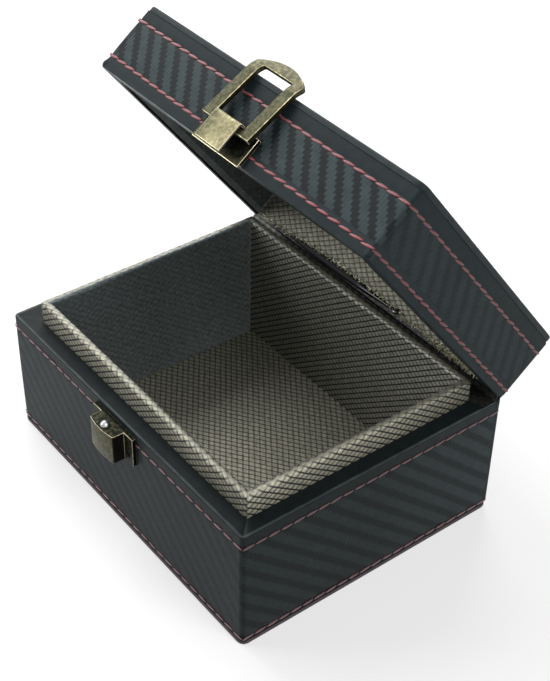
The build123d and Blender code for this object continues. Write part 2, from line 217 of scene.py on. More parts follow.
def clothMaterial(name, spec):
    material, tree, (lean, fade, dim, cool) = newMaterial(name, "lean", "edge", "dim", "cool")
    axes = add(tree, "SeparateXYZ", [add(tree, "UVMap", uv_map="millimetres")]).outputs
    across = add(tree, "Math", (axes[0], spec["gridAcross"]), operation="DIVIDE")
    upward = add(tree, "Math", (axes[1], spec["gridUp"]), operation="DIVIDE")
    upward = add(tree, "Math", (upward, lean), operation="MULTIPLY")
    # along the folded rim the grid is stretched and all but gone; the same field makes it faint under painted
    # shade on the left walls inside
    kept = add(tree, "Math", (1.0, fade), operation="SUBTRACT")
    rising = add(tree, "Math", (across, upward), operation="SUBTRACT")
    falling = add(tree, "Math", (across, upward), operation="ADD")
    lines = []
    for slant, key in ((rising, "strongLine"), (falling, "weakLine")):
        away = add(tree, "Math", (slant, 0.5), operation="PINGPONG")
        line = add(tree, "MapRange", (away, *spec[key]), interpolation_type="SMOOTHSTEP")
        lines.append(add(tree, "Math", (line, kept), operation="MULTIPLY"))
    strong, weak = lines
    # painted shade from the field dim, tinted a cool grey-blue where the field for it says
    shade = mottled(tree, add(tree, "TexCoord").outputs["Object"], dim, spec)
    tint = painted(tree, "#ffffff", [(cool, spec["coolTint"])])
    shade = add(tree, "VectorMath", {0: tint, 3: shade}, operation="SCALE")
    colour = painted(tree, spec["cloth"], [(weak, spec["gridWeak"]), (strong, spec["gridStrong"])], shade)
    # the fine threads stand as ribs along the falling grid lines
    ribs = add(tree, "Math", (falling, pi * spec["gridAcross"] / spec["ribMm"]), operation="MULTIPLY")
    ribs = add(tree, "Math", [ribs], operation="SINE")
    ribs = add(tree, "Math", (ribs, kept), operation="MULTIPLY")
    ribs = add(tree, "Math", (ribs, spec["ribHeight"]), operation="MULTIPLY")
    low = add(tree, "Math", (strong, weak), operation="ADD")
    height = add(tree, "Math", (ribs, low), operation="SUBTRACT")
    weave = {"Height": height, "Distance": spec["reliefMm"] * mm, "Strength": 1.0}
    woven = add(tree, "Bump", weave)
    values = {"Base Color": colour, "Roughness": spec["roughness"], "Normal": woven}
    return surfaced(material, {**values, "Metallic": spec["metallic"]})


# Polyester sewing thread, two plies twisted: a silky red, with a painted highlight along each stitch and painted
# shade on its sides.
thread = {
    "light": "#a53f49",      # painted highlight along the crest of each stitch
    "greyedHighlight": "#a78b8e",      # the painted highlight greyed, where the mesh's field for it says
    # the red of the thread in painted shade, on the sides of each stitch
    "dark": "#470d13",
    "crest": 0.375,          # where the crest is, as a share of the way round
    "crestFrom": 0.76,       # cosine of the angle from it at which it begins to show
    "plies": (0.0, 1.0, 0.75, 1.0),
    "twistsPerStitch": 2.0,
    "reliefMm": 0.04,
    "roughness": 0.42,
    "sheen": 0.1,
}


def threadMaterial(name, spec):
    material, tree, (greyedHighlight, dim) = newMaterial(name, "greyedHighlight", "dim")
    axes = add(tree, "SeparateXYZ", [add(tree, "UVMap", uv_map="threadPlace")]).outputs
    turn = add(tree, "Math", (axes[1], 2 * pi * spec["twistsPerStitch"]), operation="MULTIPLY")
    around = add(tree, "Math", (axes[0], 4 * pi, turn), operation="MULTIPLY_ADD")
    wave = add(tree, "Math", [around], operation="SINE")
    ply = add(tree, "MapRange", (wave, -1.0, 1.0))
    # the painted highlight runs along the crest, broken by the plies; the field dim adds painted shade
    fromCrest = add(tree, "Math", (axes[0], spec["crest"]), operation="SUBTRACT")
    fromCrest = add(tree, "Math", (fromCrest, 2 * pi), operation="MULTIPLY")
    crest = add(tree, "Math", [fromCrest], operation="COSINE")
    crest = add(tree, "MapRange", (crest, spec["crestFrom"], 1.0))
    lit = add(tree, "MapRange", (ply, *spec["plies"]))
    crest = add(tree, "Math", (crest, lit), operation="MULTIPLY")
    kept = add(tree, "Math", (1.0, dim), operation="SUBTRACT")
    light = painted(tree, spec["light"], [(greyedHighlight, spec["greyedHighlight"])])
    colour = painted(tree, spec["dark"], [(crest, light)], kept)
    twist = {"Height": ply, "Distance": spec["reliefMm"] * mm, "Strength": 0.8}
    twisted = add(tree, "Bump", twist)
    values = {"Base Color": colour, "Roughness": spec["roughness"], "Normal": twisted}
    return surfaced(material, {**values, "Sheen Weight": spec["sheen"], "Specular IOR Level": 0.5})


# Antique brass: stamped brass sheet, plated, browned in a bath and then brushed back,
# so that flats are mottled olive brown and edges are bright.
antiqueBrass = {
    "stainAndShade": "#141512",      # the bath's brown left in corners, and painted shade on faces turned from the light or in the shadow of other parts
    "dull": "#4b4a38",
    "bright": "#8a8466",
    "wearAndLight": "#efe4bd",       # rubbed edges, and painted light on faces turned to the light
    "steps": {"dull": (0.0, 0.3), "bright": (0.3, 0.65), "wearAndLight": (0.65, 1.0)},  # how far rubbed, with painted light and shade
    "roughness": (0.55, 0.28),
    "mottleMm": 1.1,
    "mottle": (0.3, 0.7, -0.14, 0.14),
    "speckMm": 0.3,
    "pits": (0.6, 0.72, 0.0, 0.6),
    "reliefMm": 0.02,
}


def brassMaterial(name, spec, least, metallic):
    # how far the face is rubbed, with painted light and shade, comes from the mesh's field for it, and is never
    # less than the given share
    material, tree, (polishAndShade,) = newMaterial(name, "polishAndShade")
    place = add(tree, "TexCoord").outputs["Object"]
    rubbedAndLit = add(tree, "Math", (polishAndShade, least), operation="MAXIMUM")
    clouds = {"Vector": place, "Scale": 1 / (spec["mottleMm"] * mm), "Detail": 5.0, "Roughness": 0.6}
    uneven = add(tree, "MapRange", (add(tree, "TexNoise", clouds), *spec["mottle"]))
    level = add(tree, "Math", (rubbedAndLit, uneven), operation="ADD")
    dust = {"Vector": place, "Scale": 1 / (spec["speckMm"] * mm), "Detail": 2.0}
    specks = add(tree, "TexNoise", dust)
    pits = add(tree, "MapRange", (specks, *spec["pits"]))
    steps = spec["steps"].items()
    layers = [(add(tree, "MapRange", (level, *ends)), spec[colour]) for colour, ends in steps]
    colour = painted(tree, spec["stainAndShade"], [*layers, (pits, spec["dull"])])
    matt = add(tree, "MapRange", (level, 0.0, 1.0, *spec["roughness"]))
    scratches = {"Height": specks, "Distance": spec["reliefMm"] * mm, "Strength": 0.6}
    scratched = add(tree, "Bump", scratches)
    values = {"Base Color": colour, "Roughness": matt, "Metallic": metallic, "Normal": scratched}
    return surfaced(material, values)


# Fibreboard: hardboard pressed from wood fibre, matt brown with short pale fibres.
fibreboard = {"dark": "#5d4630", "light": "#8c6f4c", "fibreMm": 1.1, "roughness": 0.9, "reliefMm": 0.05}

# Blackened steel: a small oxide-black tack, satin with brown in the thin spots.
blackenedSteel = dict(fibreboard, dark="#484846", light="#5c5a57", fibreMm=0.5, roughness=0.1)


def fibreMaterial(name, spec, metallic):
    material, tree, _ = newMaterial(name)
    place = add(tree, "TexCoord").outputs["Object"]
    noise = {"Vector": place, "Scale": 1 / (spec["fibreMm"] * mm), "Detail": 6.0, "Distortion": 1.5}
    fibres = add(tree, "TexNoise", noise)
    pale = add(tree, "MapRange", (fibres, 0.35, 0.65))
    colour = painted(tree, spec["dark"], [(pale, spec["light"])])
    pressed = {"Height": fibres, "Distance": spec["reliefMm"] * mm, "Strength": 0.6}
    rough = add(tree, "Bump", pressed)
    values = {"Base Color": colour, "Roughness": spec["roughness"], "Metallic": metallic, "Normal": rough}
    return surfaced(material, values)


glossy = {"plain": "#08090b", "edge": "#1c1e20", "roughness": 0.2, "shine": 0.35, "grainReliefMm": 0.002}
materials = {
    "leatherette": leatherMaterial("embossedLeatherette", twill),
    # the cover's edge colour shows on the bottom cover's side as a lighter pinkish grey, rubbed and painted light
    "cover_leatherette": leatherMaterial("coverLeatherette", dict(twill, plain="#23292b", edge="#5a5054")),
    "hinge_leatherette": leatherMaterial("glossyHingeLeather", {**twill, **glossy}),
    "shield_fabric": clothMaterial("shieldingFabric", shieldCloth),
    "red_thread": threadMaterial("redPolyesterThread", thread),
    "antique_brass": brassMaterial("antiqueBrass", antiqueBrass, -0.12, 1.0),
    "fibreboard": fibreMaterial("fibreboard", fibreboard, 0.0),
    "blackened_steel": fibreMaterial("blackenedSteel", blackenedSteel, 1.0),
}
wornBrass = brassMaterial("wornBrassEdge", antiqueBrass, 1.1, 0.35)
rubbedBrass = brassMaterial("rubbedBrassEdge", antiqueBrass, 0.72, 0.35)
# Nickelled brass: the stud's bright plating, turned and polished.
nickelled = dict(antiqueBrass, dull="#55565a", bright="#8b8c8e", wearAndLight="#c9cac8")
nickelPlate = brassMaterial("nickelPlate", nickelled, 0.8, 1.0)
for part in frame["record"]["subparts"]:
    finish = nodes[part["node"]].data.materials
    finish.clear()
    finish.append(materials[part["material_slot"]])
print("materials made")


def linked(name, data):
    # an object of its own for a mesh, a lamp or a camera
    made = bpy.data.objects.new(name, data)
    bpy.context.scene.collection.objects.link(made)
    return made


def gridObject(name, points, across, upward, flip=False, caps=(), **fields):
    # a sheet of quads through rows of points; across and upward are its UV in metres, fields its own values
    rows, columns = points.shape[:2]
    index = np.arange(rows * columns).reshape(rows, columns)
    quads = np.stack([index[:-1, :-1], index[:-1, 1:], index[1:, 1:], index[1:, :-1]], axis=-1).reshape(-1, 4)
    faces = [list(quad) for quad in (quads[:, ::-1] if flip else quads).tolist()]
    for row, turned in caps:
        ring = index[row, :-1].tolist()
        faces.append(ring[::-1] if turned else ring)
    mesh = bpy.data.meshes.new(name)
    mesh.from_pydata(points.reshape(-1, 3).tolist(), [], faces)
    corners = np.empty(len(mesh.loops), np.int32)
    mesh.loops.foreach_get("vertex_index", corners)
    uv = np.stack(np.broadcast_arrays(across, upward, points[..., 0])[:2], axis=-1)
    uv = uv.reshape(-1, 2)[corners] / mm
    mesh.uv_layers.new(name="millimetres").data.foreach_set("uv", uv.astype(np.float32).ravel())
    for key, values in fields.items():
        layer = mesh.attributes.new(key, "FLOAT", "POINT").data
        layer.foreach_set("value", np.broadcast_to(values, (rows, columns)).astype(np.float32).ravel())
    work = bmesh.new()
    work.from_mesh(mesh)
    bmesh.ops.remove_doubles(work, verts=work.verts, dist=1e-7)
    work.to_mesh(mesh)
    work.free()
    return linked(name, mesh)


def settle(piece, slot, replaced, body=None, space=boxSpace, sharp=35, thickness=0.0, extra=()):
    # gives the sheet its thickness, applies all modifiers, gives it its materials, hangs it on its body and hides
    # the CAD nodes that it replaces
    if thickness:
        wall = piece.modifiers.new("thickness", "SOLIDIFY")
        wall.thickness = thickness
        wall.offset = -1
    graph = bpy.context.evaluated_depsgraph_get()
    shown = piece.evaluated_get(graph)
    mesh = bpy.data.meshes.new_from_object(shown, preserve_all_data_layers=True, depsgraph=graph)
    piece.modifiers.clear()
    piece.data = mesh
    mesh.name = piece.name
    mesh.transform(space)
    mesh.shade_smooth()
    mesh.set_sharp_from_angle(angle=radians(sharp))
    which = np.zeros(len(mesh.polygons), np.int32)
    if extra:
        mesh.polygons.foreach_get("material_index", which)
    mesh.materials.clear()
    for material in (materials[slot], *extra):
        mesh.materials.append(material)
    mesh.polygons.foreach_set("material_index", which)
    if body:
        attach(piece, body)
    if replaced:
        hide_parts(*replaced)
    return piece


def spread(low, high, step):
    # places along a run, closer together near its ends
    count = max(3, int(abs(high - low) / step))
    return low + (high - low) * (0.5 - 0.5 * np.cos(np.linspace(0, pi, count + 1)))


def distances(points):
    # how far along a path each of its points lies
    return np.r_[0, np.cumsum(np.linalg.norm(np.diff(points, axis=0), axis=1))]


def resampled(points, share):
    # the same path with its points at the given shares of its length
    along = distances(points)
    return np.stack([np.interp(share * along[-1], along, axis) for axis in points.T], axis=1)


def roundedPath(corners, radius, step, closed=False, bend=6):
    # a path with rounded corners: places, outward directions, and distance along it
    corners = [np.array(corner, float) for corner in corners]
    count = len(corners)
    starts, ends = [], []
    for i, corner in enumerate(corners):
        reach = radius if closed or 0 < i < count - 1 else 0.0
        for found, other in ((starts, corners[i - 1]), (ends, corners[(i + 1) % count])):
            away = other - corner
            found.append(corner + away / np.linalg.norm(away) * reach)
    places = []
    for i in range(count if closed else count - 1):
        here, there = ends[i], starts[(i + 1) % count]
        share = spread(0, 1, step / np.linalg.norm(there - here))
        places.append(here + share[:, None] * (there - here))
        if closed or i + 1 < count - 1:
            corner, leave = corners[(i + 1) % count], ends[(i + 1) % count]
            centre = there + leave - corner
            for angle in np.linspace(0, pi / 2, bend + 1)[1:-1]:
                places.append((centre + (there - centre) * cos(angle) + (leave - centre) * sin(angle))[None])
    points = np.concatenate(places)
    points = points[np.r_[True, np.linalg.norm(np.diff(points, axis=0), axis=1) > 1e-9]]
    ahead = np.gradient(points, axis=0)
    if closed:
        if np.linalg.norm(points[0] - points[-1]) > 1e-9:
            points = np.concatenate([points, points[:1]])
        ring = points[:-1]
        ahead = np.roll(ring, -1, axis=0) - np.roll(ring, 1, axis=0)
        ahead = np.concatenate([ahead, ahead[:1]])
    ahead = ahead / np.linalg.norm(ahead, axis=1)[:, None]
    return points, np.stack([ahead[:, 1], -ahead[:, 0]], axis=1), distances(points)


def wallPath(low, high, radius, step, closed=False):
    # from the back left corner over the front to the back right one
    corners = [(low[0], high[1]), (low[0], low[1]), (high[0], low[1]), (high[0], high[1])]
    return roundedPath(corners, radius, step, closed)


def ripple(a, b, seed, size):
    # a smooth unevenness between about -1 and 1, over places given in metres
    total = 0
    rng = np.random.default_rng(seed)
    for _ in range(6):
        angle, phase, scale = rng.uniform(0, 2 * pi), rng.uniform(0, 2 * pi), size * rng.uniform(0.6, 1.7)
        total = total + np.sin((a * cos(angle) + b * sin(angle)) * 2 * pi / scale + phase)
    return total / 3.5


def bell(distance, width):
    # 1 in the middle, falling softly to nothing within about two widths
    return np.exp(-((distance / width) ** 2))


# Leatherette on the base and on the lid.
wrapForm = {
    "step": 1.6 * mm,        # mesh spacing along the walls
    "rise": 0.9 * mm,        # and up the walls
    "nearRows": (-0.8, -0.4, 0, 0.4, 0.8),  # mm from each row of stitching, where the mesh is finer
    "stripRows": (0.04, 0.12, 0.3, 0.5, 0.7, 0.88, 1.0),  # across the strip, as shares of its width
    "puff": 0.1 * mm,        # how far the leather swells between the two rows of stitching
    "groove": 0.16 * mm,     # how far the stitches pull it in
    "grooveWidth": 0.75 * mm,
    "wave": 0.07 * mm,       # unevenness of the board and glue under it
    "waveSize": 34 * mm,
    "mitre": 0.22 * mm,      # depth of the crease where two folds meet at a corner
    "mitreWidth": 0.5 * mm,
    "thickness": 0.75 * mm,
    "roundness": 0.45 * mm,  # of the fold
    "strip": 6.0 * mm,       # length of pattern that the strip takes up
    "stripWave": 0.06 * mm,
    "stripWaveSize": 12 * mm,
    "cornerReach": 2 * mm,   # how near a front corner the strip runs into the corner of what it meets
    "earSize": 1.1 * mm,
    "earDown": 1.6 * mm,     # from the fold to the middle of the ear
    "creaseAt": 1.3 * mm,    # past the corner
    "creaseWidth": 0.7 * mm,
    "highlightPatchSize": 9 * mm,
}


def leatherWrap(name, path, inner, low, high, rowsAt, look, down=False):
    # a wall of leather round three sides, then a rounded fold, then a strip that lies over the edge
    points, outward, along = path
    height = high - low
    roundness = wrapForm["roundness"]
    nearRows = [row + away * mm for row in rowsAt for away in wrapForm["nearRows"]]
    wall = np.unique(np.r_[spread(0, height - roundness, wrapForm["rise"]), nearRows])
    arc = np.linspace(0, pi / 2, 6)[1:]
    share = np.array(wrapForm["stripRows"])
    up = np.r_[wall, height - roundness + roundness * np.sin(arc), np.full(len(share), height)]
    inset = np.r_[np.zeros(len(wall)), roundness - roundness * np.cos(arc), np.full(len(share), roundness)]
    folded = np.r_[np.zeros(len(wall) + len(arc)), share]
    travel = distances(np.column_stack([up, inset])) + folded * wrapForm["strip"]
    onWall = up < height - roundness
    lowRow, highRow = sorted(rowsAt)
    between = (up > lowRow) & (up < highRow)
    swelling = np.sin(pi * np.clip((up - lowRow) / (highRow - lowRow), 0, 1)) ** 0.7
    swell = np.where(between, wrapForm["puff"] * swelling, 0)
    for row in rowsAt:
        swell -= onWall * wrapForm["groove"] * bell(up - row, wrapForm["grooveWidth"])
    fromCorner = np.stack([along - corner for corner in look["corners"]])
    nearest = np.argmin(np.abs(fromCorner), axis=0)[None]
    fromCorner = np.take_along_axis(fromCorner, nearest, axis=0)[0]
    wave = wrapForm["wave"] * ripple(along[None], up[:, None], seed=3, size=wrapForm["waveSize"])
    ear = look["ear"] * bell(up - height + wrapForm["earDown"], wrapForm["earSize"])[:, None]
    ear = ear * bell(fromCorner, wrapForm["earSize"])[None]
    offset = (swell - inset)[:, None] + onWall[:, None] * (wave + ear)
    flat = points[None] + outward[None] * offset[..., None]
    flat = flat + (inner - (points - outward * roundness))[None] * folded[:, None, None]
    # the crease runs from the outer corner to the corner of what the strip meets
    crease = wrapForm["mitre"] * bell(cornerDistance(flat, points), wrapForm["mitreWidth"])
    inStrip = folded[:, None] * wrapForm["strip"]
    uneven = wrapForm["stripWave"] * ripple(along[None], inStrip, seed=5, size=wrapForm["stripWaveSize"])
    level = up[:, None] + (folded > 0)[:, None] * (uneven - crease)
    grid = np.dstack([flat, high - level if down else low + level])
    # a painted highlight along the lip of the fold, patchy along its length
    litLip = (up > height - 0.3 * roundness) & (folded < 0.05)
    patchy = 0.8 + 0.2 * ripple(along[None], up[:, None], seed=8, size=wrapForm["highlightPatchSize"])
    rubbedAndLit = np.where(litLip[:, None], look["edge"][None] * patchy, 0.0)
    emboss = np.where(between[:, None], look["emboss"][None], 0.0)
    # painted shade on the strip and along the walls, and in the crease beside each front corner
    creaseShade = look["crease"] * bell(fromCorner - wrapForm["creaseAt"], wrapForm["creaseWidth"])
    dim = np.where(folded[:, None] > 0.02, look["stripDim"], look["wallDim"][None])
    dim = dim + between[:, None] * creaseShade[None]
    across, upward = along[None], travel[:, None] * (-1 if down else 1)
    if "turned" in look:
        # cut from the roll the other way round, and pulled a little as it is glued down
        turned = look["turned"]
        across, upward = upward * turned["up"], across * turned["across"] + turned["start"]
    fields = {"emboss": emboss, "edge": np.clip(rubbedAndLit, 0, 1), "dim": np.clip(dim, 0, 1)}
    return gridObject(name, grid, across, upward, flip=down, **fields)


def cornerDistance(flat, points):
    # distance of each place from the diagonal through the nearest front corner
    left, right = points[:, 0].min(), points[:, 0].max()
    front = points[:, 1].min()
    x, y = flat[..., 0], flat[..., 1]
    return np.minimum(np.abs((x - left) - (y - front)), np.abs((right - x) - (y - front))) / 2**0.5


def innerEdge(points, low, high):
    # where the strip ends: straight in from the wall, and at the two front corners in the inner corner
    inner = np.clip(points, low[:2], (high[0], np.inf))
    x, y = points.T
    reach = wrapForm["cornerReach"]
    corner = ((x < x.min() + reach) | (x > x.max() - reach)) & (y < y.min() + reach)
    inner[corner] = np.column_stack([np.where(x < 0, low[0], high[0]), np.full(len(x), low[1])])[corner]
    return inner


def sideValues(along, sides, values):
    # one value for each of the three sides, changing at the corners
    turns = np.cumsum(sides)
    places = [turns[0] - mm, turns[0] + mm, turns[1] - mm, turns[1] + mm]
    return np.interp(along, places, [values[k] for k in (0, 1, 1, 2)])


def wrapLook(form, along, low, high):
    # the looks of a wrap's three sides, at each place along its path
    sides = (high[1] - low[1], high[0] - low[0], high[1] - low[1])
    values = {key: sideValues(along, sides, form[key]) for key in ("emboss", "edge")}
    corners = (sides[0], sides[0] + sides[1])
    spots = [0, corners[0], corners[0] + sides[1] / 2, corners[1], sum(sides) - sides[2] / 2, sum(sides)]
    return {**form, **values, "corners": corners, "wallDim": np.interp(along, spots, form["wallDim"])}


# heights of the stitching at the left end, the front left, the front right and the back right
rowHeights = {
    "baseUpper": (42.0 * mm, 42.0 * mm, 41.9 * mm, 42.1 * mm),
    "baseLower": (3.1 * mm, 3.1 * mm, 2.85 * mm, 2.85 * mm),
    "lidUpper": (19.2 * mm, 19.2 * mm, 18.4 * mm, 18.6 * mm),
    "lidLower": (4.6 * mm, 5.0 * mm, 3.2 * mm, 3.2 * mm),
}

# the values run from the left side over the front to the right side
baseForm = {
    "corner": 1.5 * mm,
    # by side, with the light: the twill's painted sheen, the painted highlight on the fold, and painted shade on
    # the ledge strip and the walls
    "emboss": (0.3, 0.36, 0.6),
    "edge": (0.35, 0.2, 0.22),
    "stripDim": 0.5,
    "wallDim": (0.1, 0.1, 0.34, 0.44, 0.44, 0.0),  # at the ends and the corners, and in the middles
    "ear": 0.0,
    "crease": 0.0,
    "turned": {"across": 1.04, "up": 0.97, "start": 0.85 * mm},
}

trayWalls = [f"tray_{side}_lining" for side in ("front", "back", "left", "right")]
trayBoxes = np.array([nodeBox(wall) for wall in trayWalls])
trayLow, trayHigh = trayBoxes[:, 0].min(axis=0), trayBoxes[:, 1].max(axis=0)
linerLow, linerHigh = nodeBox("hinge_lining")
baseLow, baseHigh = nodeBox("base_leather_wrap")
basePath = wallPath(baseLow, baseHigh, baseForm["corner"], wrapForm["step"])


def makeBaseLeather():
    points, _, along = basePath
    inner = innerEdge(points, trayLow, trayHigh)
    # the strip ends on the collar, and at the back beside the fabric of the hinge
    behind = points[:, 1] > linerLow[1]
    inner[behind, 0] = np.clip(points[behind, 0], linerLow[0], linerHigh[0])
    look = wrapLook(baseForm, along, baseLow, baseHigh)
    rows = [rowHeights[row][0] - baseLow[2] for row in ("baseLower", "baseUpper")]
    piece = leatherWrap("baseLeather", basePath, inner, baseLow[2], baseHigh[2], rows, look)
    replaced = ("base_leather_wrap", "ledge_trim")
    return settle(piece, "leatherette", replaced, "base", thickness=wrapForm["thickness"])


lidForm = {
    "corner": 0.9 * mm,
    "wall": 5.0 * mm,
    # by side, with the light: the twill's painted sheen and the painted highlight on the fold; painted shade on
    # the strip under the rim
    "emboss": (0.3, 0.95, 0.3),
    "edge": (0.5, 1.0, 0.1),
    "highlightTo": 0.1,         # share of the fold's painted highlight that is left to the right of the hasp plate
    "stripDim": 0.3,
    "wallDim": (0.0, 0.0, 0.0, 0.0, 0.0, 0.0),
    "ear": 0.5 * mm,         # the fold left standing at the foot of each front corner
    "crease": 0.55,          # how dark the painted shade in the crease beside each front corner is
}

lidLow, lidHigh = nodeBox("lid_front_leather", lidSpace)
lidBack = nodeBox("lid_right_leather", lidSpace)[1][1]
plateLow, plateHigh = nodeBox("hasp_plate", lidSpace)
lidPath = wallPath(lidLow, (lidHigh[0], lidBack), lidForm["corner"], wrapForm["step"])
# the hollow of the lid, inside its walls, from its rim up to its ceiling
rimTop = nodeBox("lid_rim_trim", lidSpace)[1][2]
ceiling = nodeBox("lid_ceiling_lining", lidSpace)[0][2]
hollowLow = np.array((lidLow[0] + lidForm["wall"], lidLow[1] + lidForm["wall"], rimTop))
hollowHigh = np.array((lidHigh[0] - lidForm["wall"], -lidForm["wall"], ceiling))


def makeLidLeather():
    points, _, along = lidPath
    look = wrapLook(lidForm, along, lidLow, (lidHigh[0], lidBack))
    # the fold's painted highlight is bright from its left end to the hasp plate
    x = along - look["corners"][0] + lidLow[0]
    look["edge"] = look["edge"] * np.interp(x, [plateLow[0], plateHigh[0]], [1, lidForm["highlightTo"]])
    top = lidHigh[2]
    rows = [top - rowHeights["lidUpper"][0], top - rowHeights["lidLower"][1]]
    inner = innerEdge(points, hollowLow, hollowHigh)
    piece = leatherWrap("lidLeather", lidPath, inner, lidLow[2], top, rows, look, down=True)
    replaced = ("lid_front_leather", "lid_left_leather", "lid_right_leather", "lid_rim_trim")
    return settle(piece, "leatherette", replaced, "lid", lidSpace, thickness=wrapForm["thickness"])


makeBaseLeather()
makeLidLeather()
print("leather wraps made")

boardForm = {
    "step": 2.5 * mm,
    "places": 361,           # round each ring of the mesh
    "leastCorner": 0.2 * mm,
    "innerFace": 0.25 * mm,  # rounding on the glued side
    "rings": (0.02, 0.05, 0.1, 0.18, 0.3, 0.45, 0.62, 0.8),  # over the face, as shares of the way in
    "crown": 0.35 * mm,
    "wave": 0.05 * mm,
    "waveSize": 40 * mm,
    "rubbedAndLit": 0.0,           # lighter along its side: rubbed, and painted light
    "shade": (0.0, 0.0),     # painted shade on its side, and on the turn on to its face; below 0 it is painted light
}
topCover = dict(boardForm, corner=2.5 * mm, edge=0.7 * mm, emboss=1.0, shade=(-0.45, 0.6))
bottomCover = dict(boardForm, corner=2.5 * mm, edge=0.6 * mm, emboss=0.0, crown=0.0, rubbedAndLit=0.95)
backCover = dict(boardForm, corner=0.6 * mm, edge=0.6 * mm, emboss=0.8, crown=0.15 * mm)


def coveredBoard(name, node, space, body, form):
    # leatherette over a thin board: rounded in plan, softly rolled over its outer edges, a little crowned
    low, high = nodeBox(node, space)
    middle, half = (low + high) / 2, (high - low) / 2
    reach, small, edge = min(half[:2]), form["innerFace"], form["edge"]
    roll = np.linspace(0, pi / 2, 6)
    over = np.array(form["rings"])
    # from the glued side, round the board's own edge, and in over its face
    glued = np.array((0.8 * reach, 0.3 * reach, 2 * small))
    inset = np.r_[glued, small - small * np.sin(roll[::2]), edge - edge * np.cos(roll)]
    inset = np.r_[inset, edge + over * (reach - edge)]
    height = np.r_[np.full(3, low[2]), low[2] + small - small * np.cos(roll[::2])]
    height = np.r_[height, high[2] - edge + edge * np.sin(roll)]
    height = np.r_[height, high[2] + form["crown"] * (1 - (1 - over) ** 2.5)]
    rows = []
    for level, gap in zip(height, inset):
        ends = half[:2] - gap
        radius = max(form["corner"] - gap, form["leastCorner"])
        around = wallPath(-ends, ends, radius, form["step"], closed=True)[0]
        even = resampled(around, np.linspace(0, 1, form["places"])) + middle[:2]
        rows.append(np.column_stack([even, np.full(len(even), level)]))
    grid = np.array(rows)
    ring = np.arange(len(height))[:, None]
    faceFrom = len(height) - len(over)
    onFace = ring >= faceFrom - 1
    isSide = (ring >= len(glued)) & (ring < faceFrom)
    grid[..., 2] += onFace * form["wave"] * ripple(grid[..., 0], grid[..., 1], seed=11, size=form["waveSize"])
    # painted light and shade on the side and on the turn on to the face
    dim = np.where(isSide, np.where(ring < faceFrom - 3, *form["shade"]), 0.0)
    fields = {"emboss": onFace * form["emboss"], "edge": isSide * form["rubbedAndLit"], "dim": dim}
    piece = gridObject(name, grid, grid[..., 0], grid[..., 1], caps=((0, True), (-1, False)), **fields)
    return settle(piece, "cover_leatherette", (node,), body, space)


coveredBoard("lidTopCover", "lid_top_cover", lidSpace, "lid", topCover)
coveredBoard("bottomCover", "bottom_cover", faceDown, "base", bottomCover)
coveredBoard("lidBackCover", "lid_back_cover", lidSpace @ faceBack, "lid", backCover)
coveredBoard("baseBackCover", "base_back_cover", faceBack, "base", backCover)
print("covered boards made")

liningForm = {
    "step": 1.5 * mm,
    "outside": 20 * mm,      # height of a row of mesh that the base hides
    "collarFrom": 40 * mm,
    "collarRise": 1.0 * mm,  # mesh spacing up the collar outside
    "insideRise": 1.6 * mm,  # and down the tray inside
    "lidRise": 1.3 * mm,
    "outerCorner": 0.7 * mm,
    "innerCorner": 0.5 * mm,
    "rimRound": 0.85 * mm,
    "rimRise": 0.12 * mm,    # the fabric stands off the board's edge a little
    "rimWave": 0.08 * mm,
    "rimWaveSize": 9 * mm,
    "rimFade": 0.75,         # how faint the grid is over the rim, and on the left wall inside under its painted shade
    "thickness": 0.35 * mm,
    "slack": 0.12 * mm,
    "slackSize": 22 * mm,
}

trayForm = {
    "right": (-0.6, -0.45, 0.15),  # painted light outside on the right wall, fading into a little painted shade, from its front to its back
    "back": (0.0, -0.55),    # painted light inside on the back wall, from its middle to its right
    "left": (0.22, 0.1, -1.0),  # and inside on the left wall, from its front to its back: painted shade at its front, painted light at its back
    # painted cool shade over all the fabric inside
    "coolInside": 0.3,
}


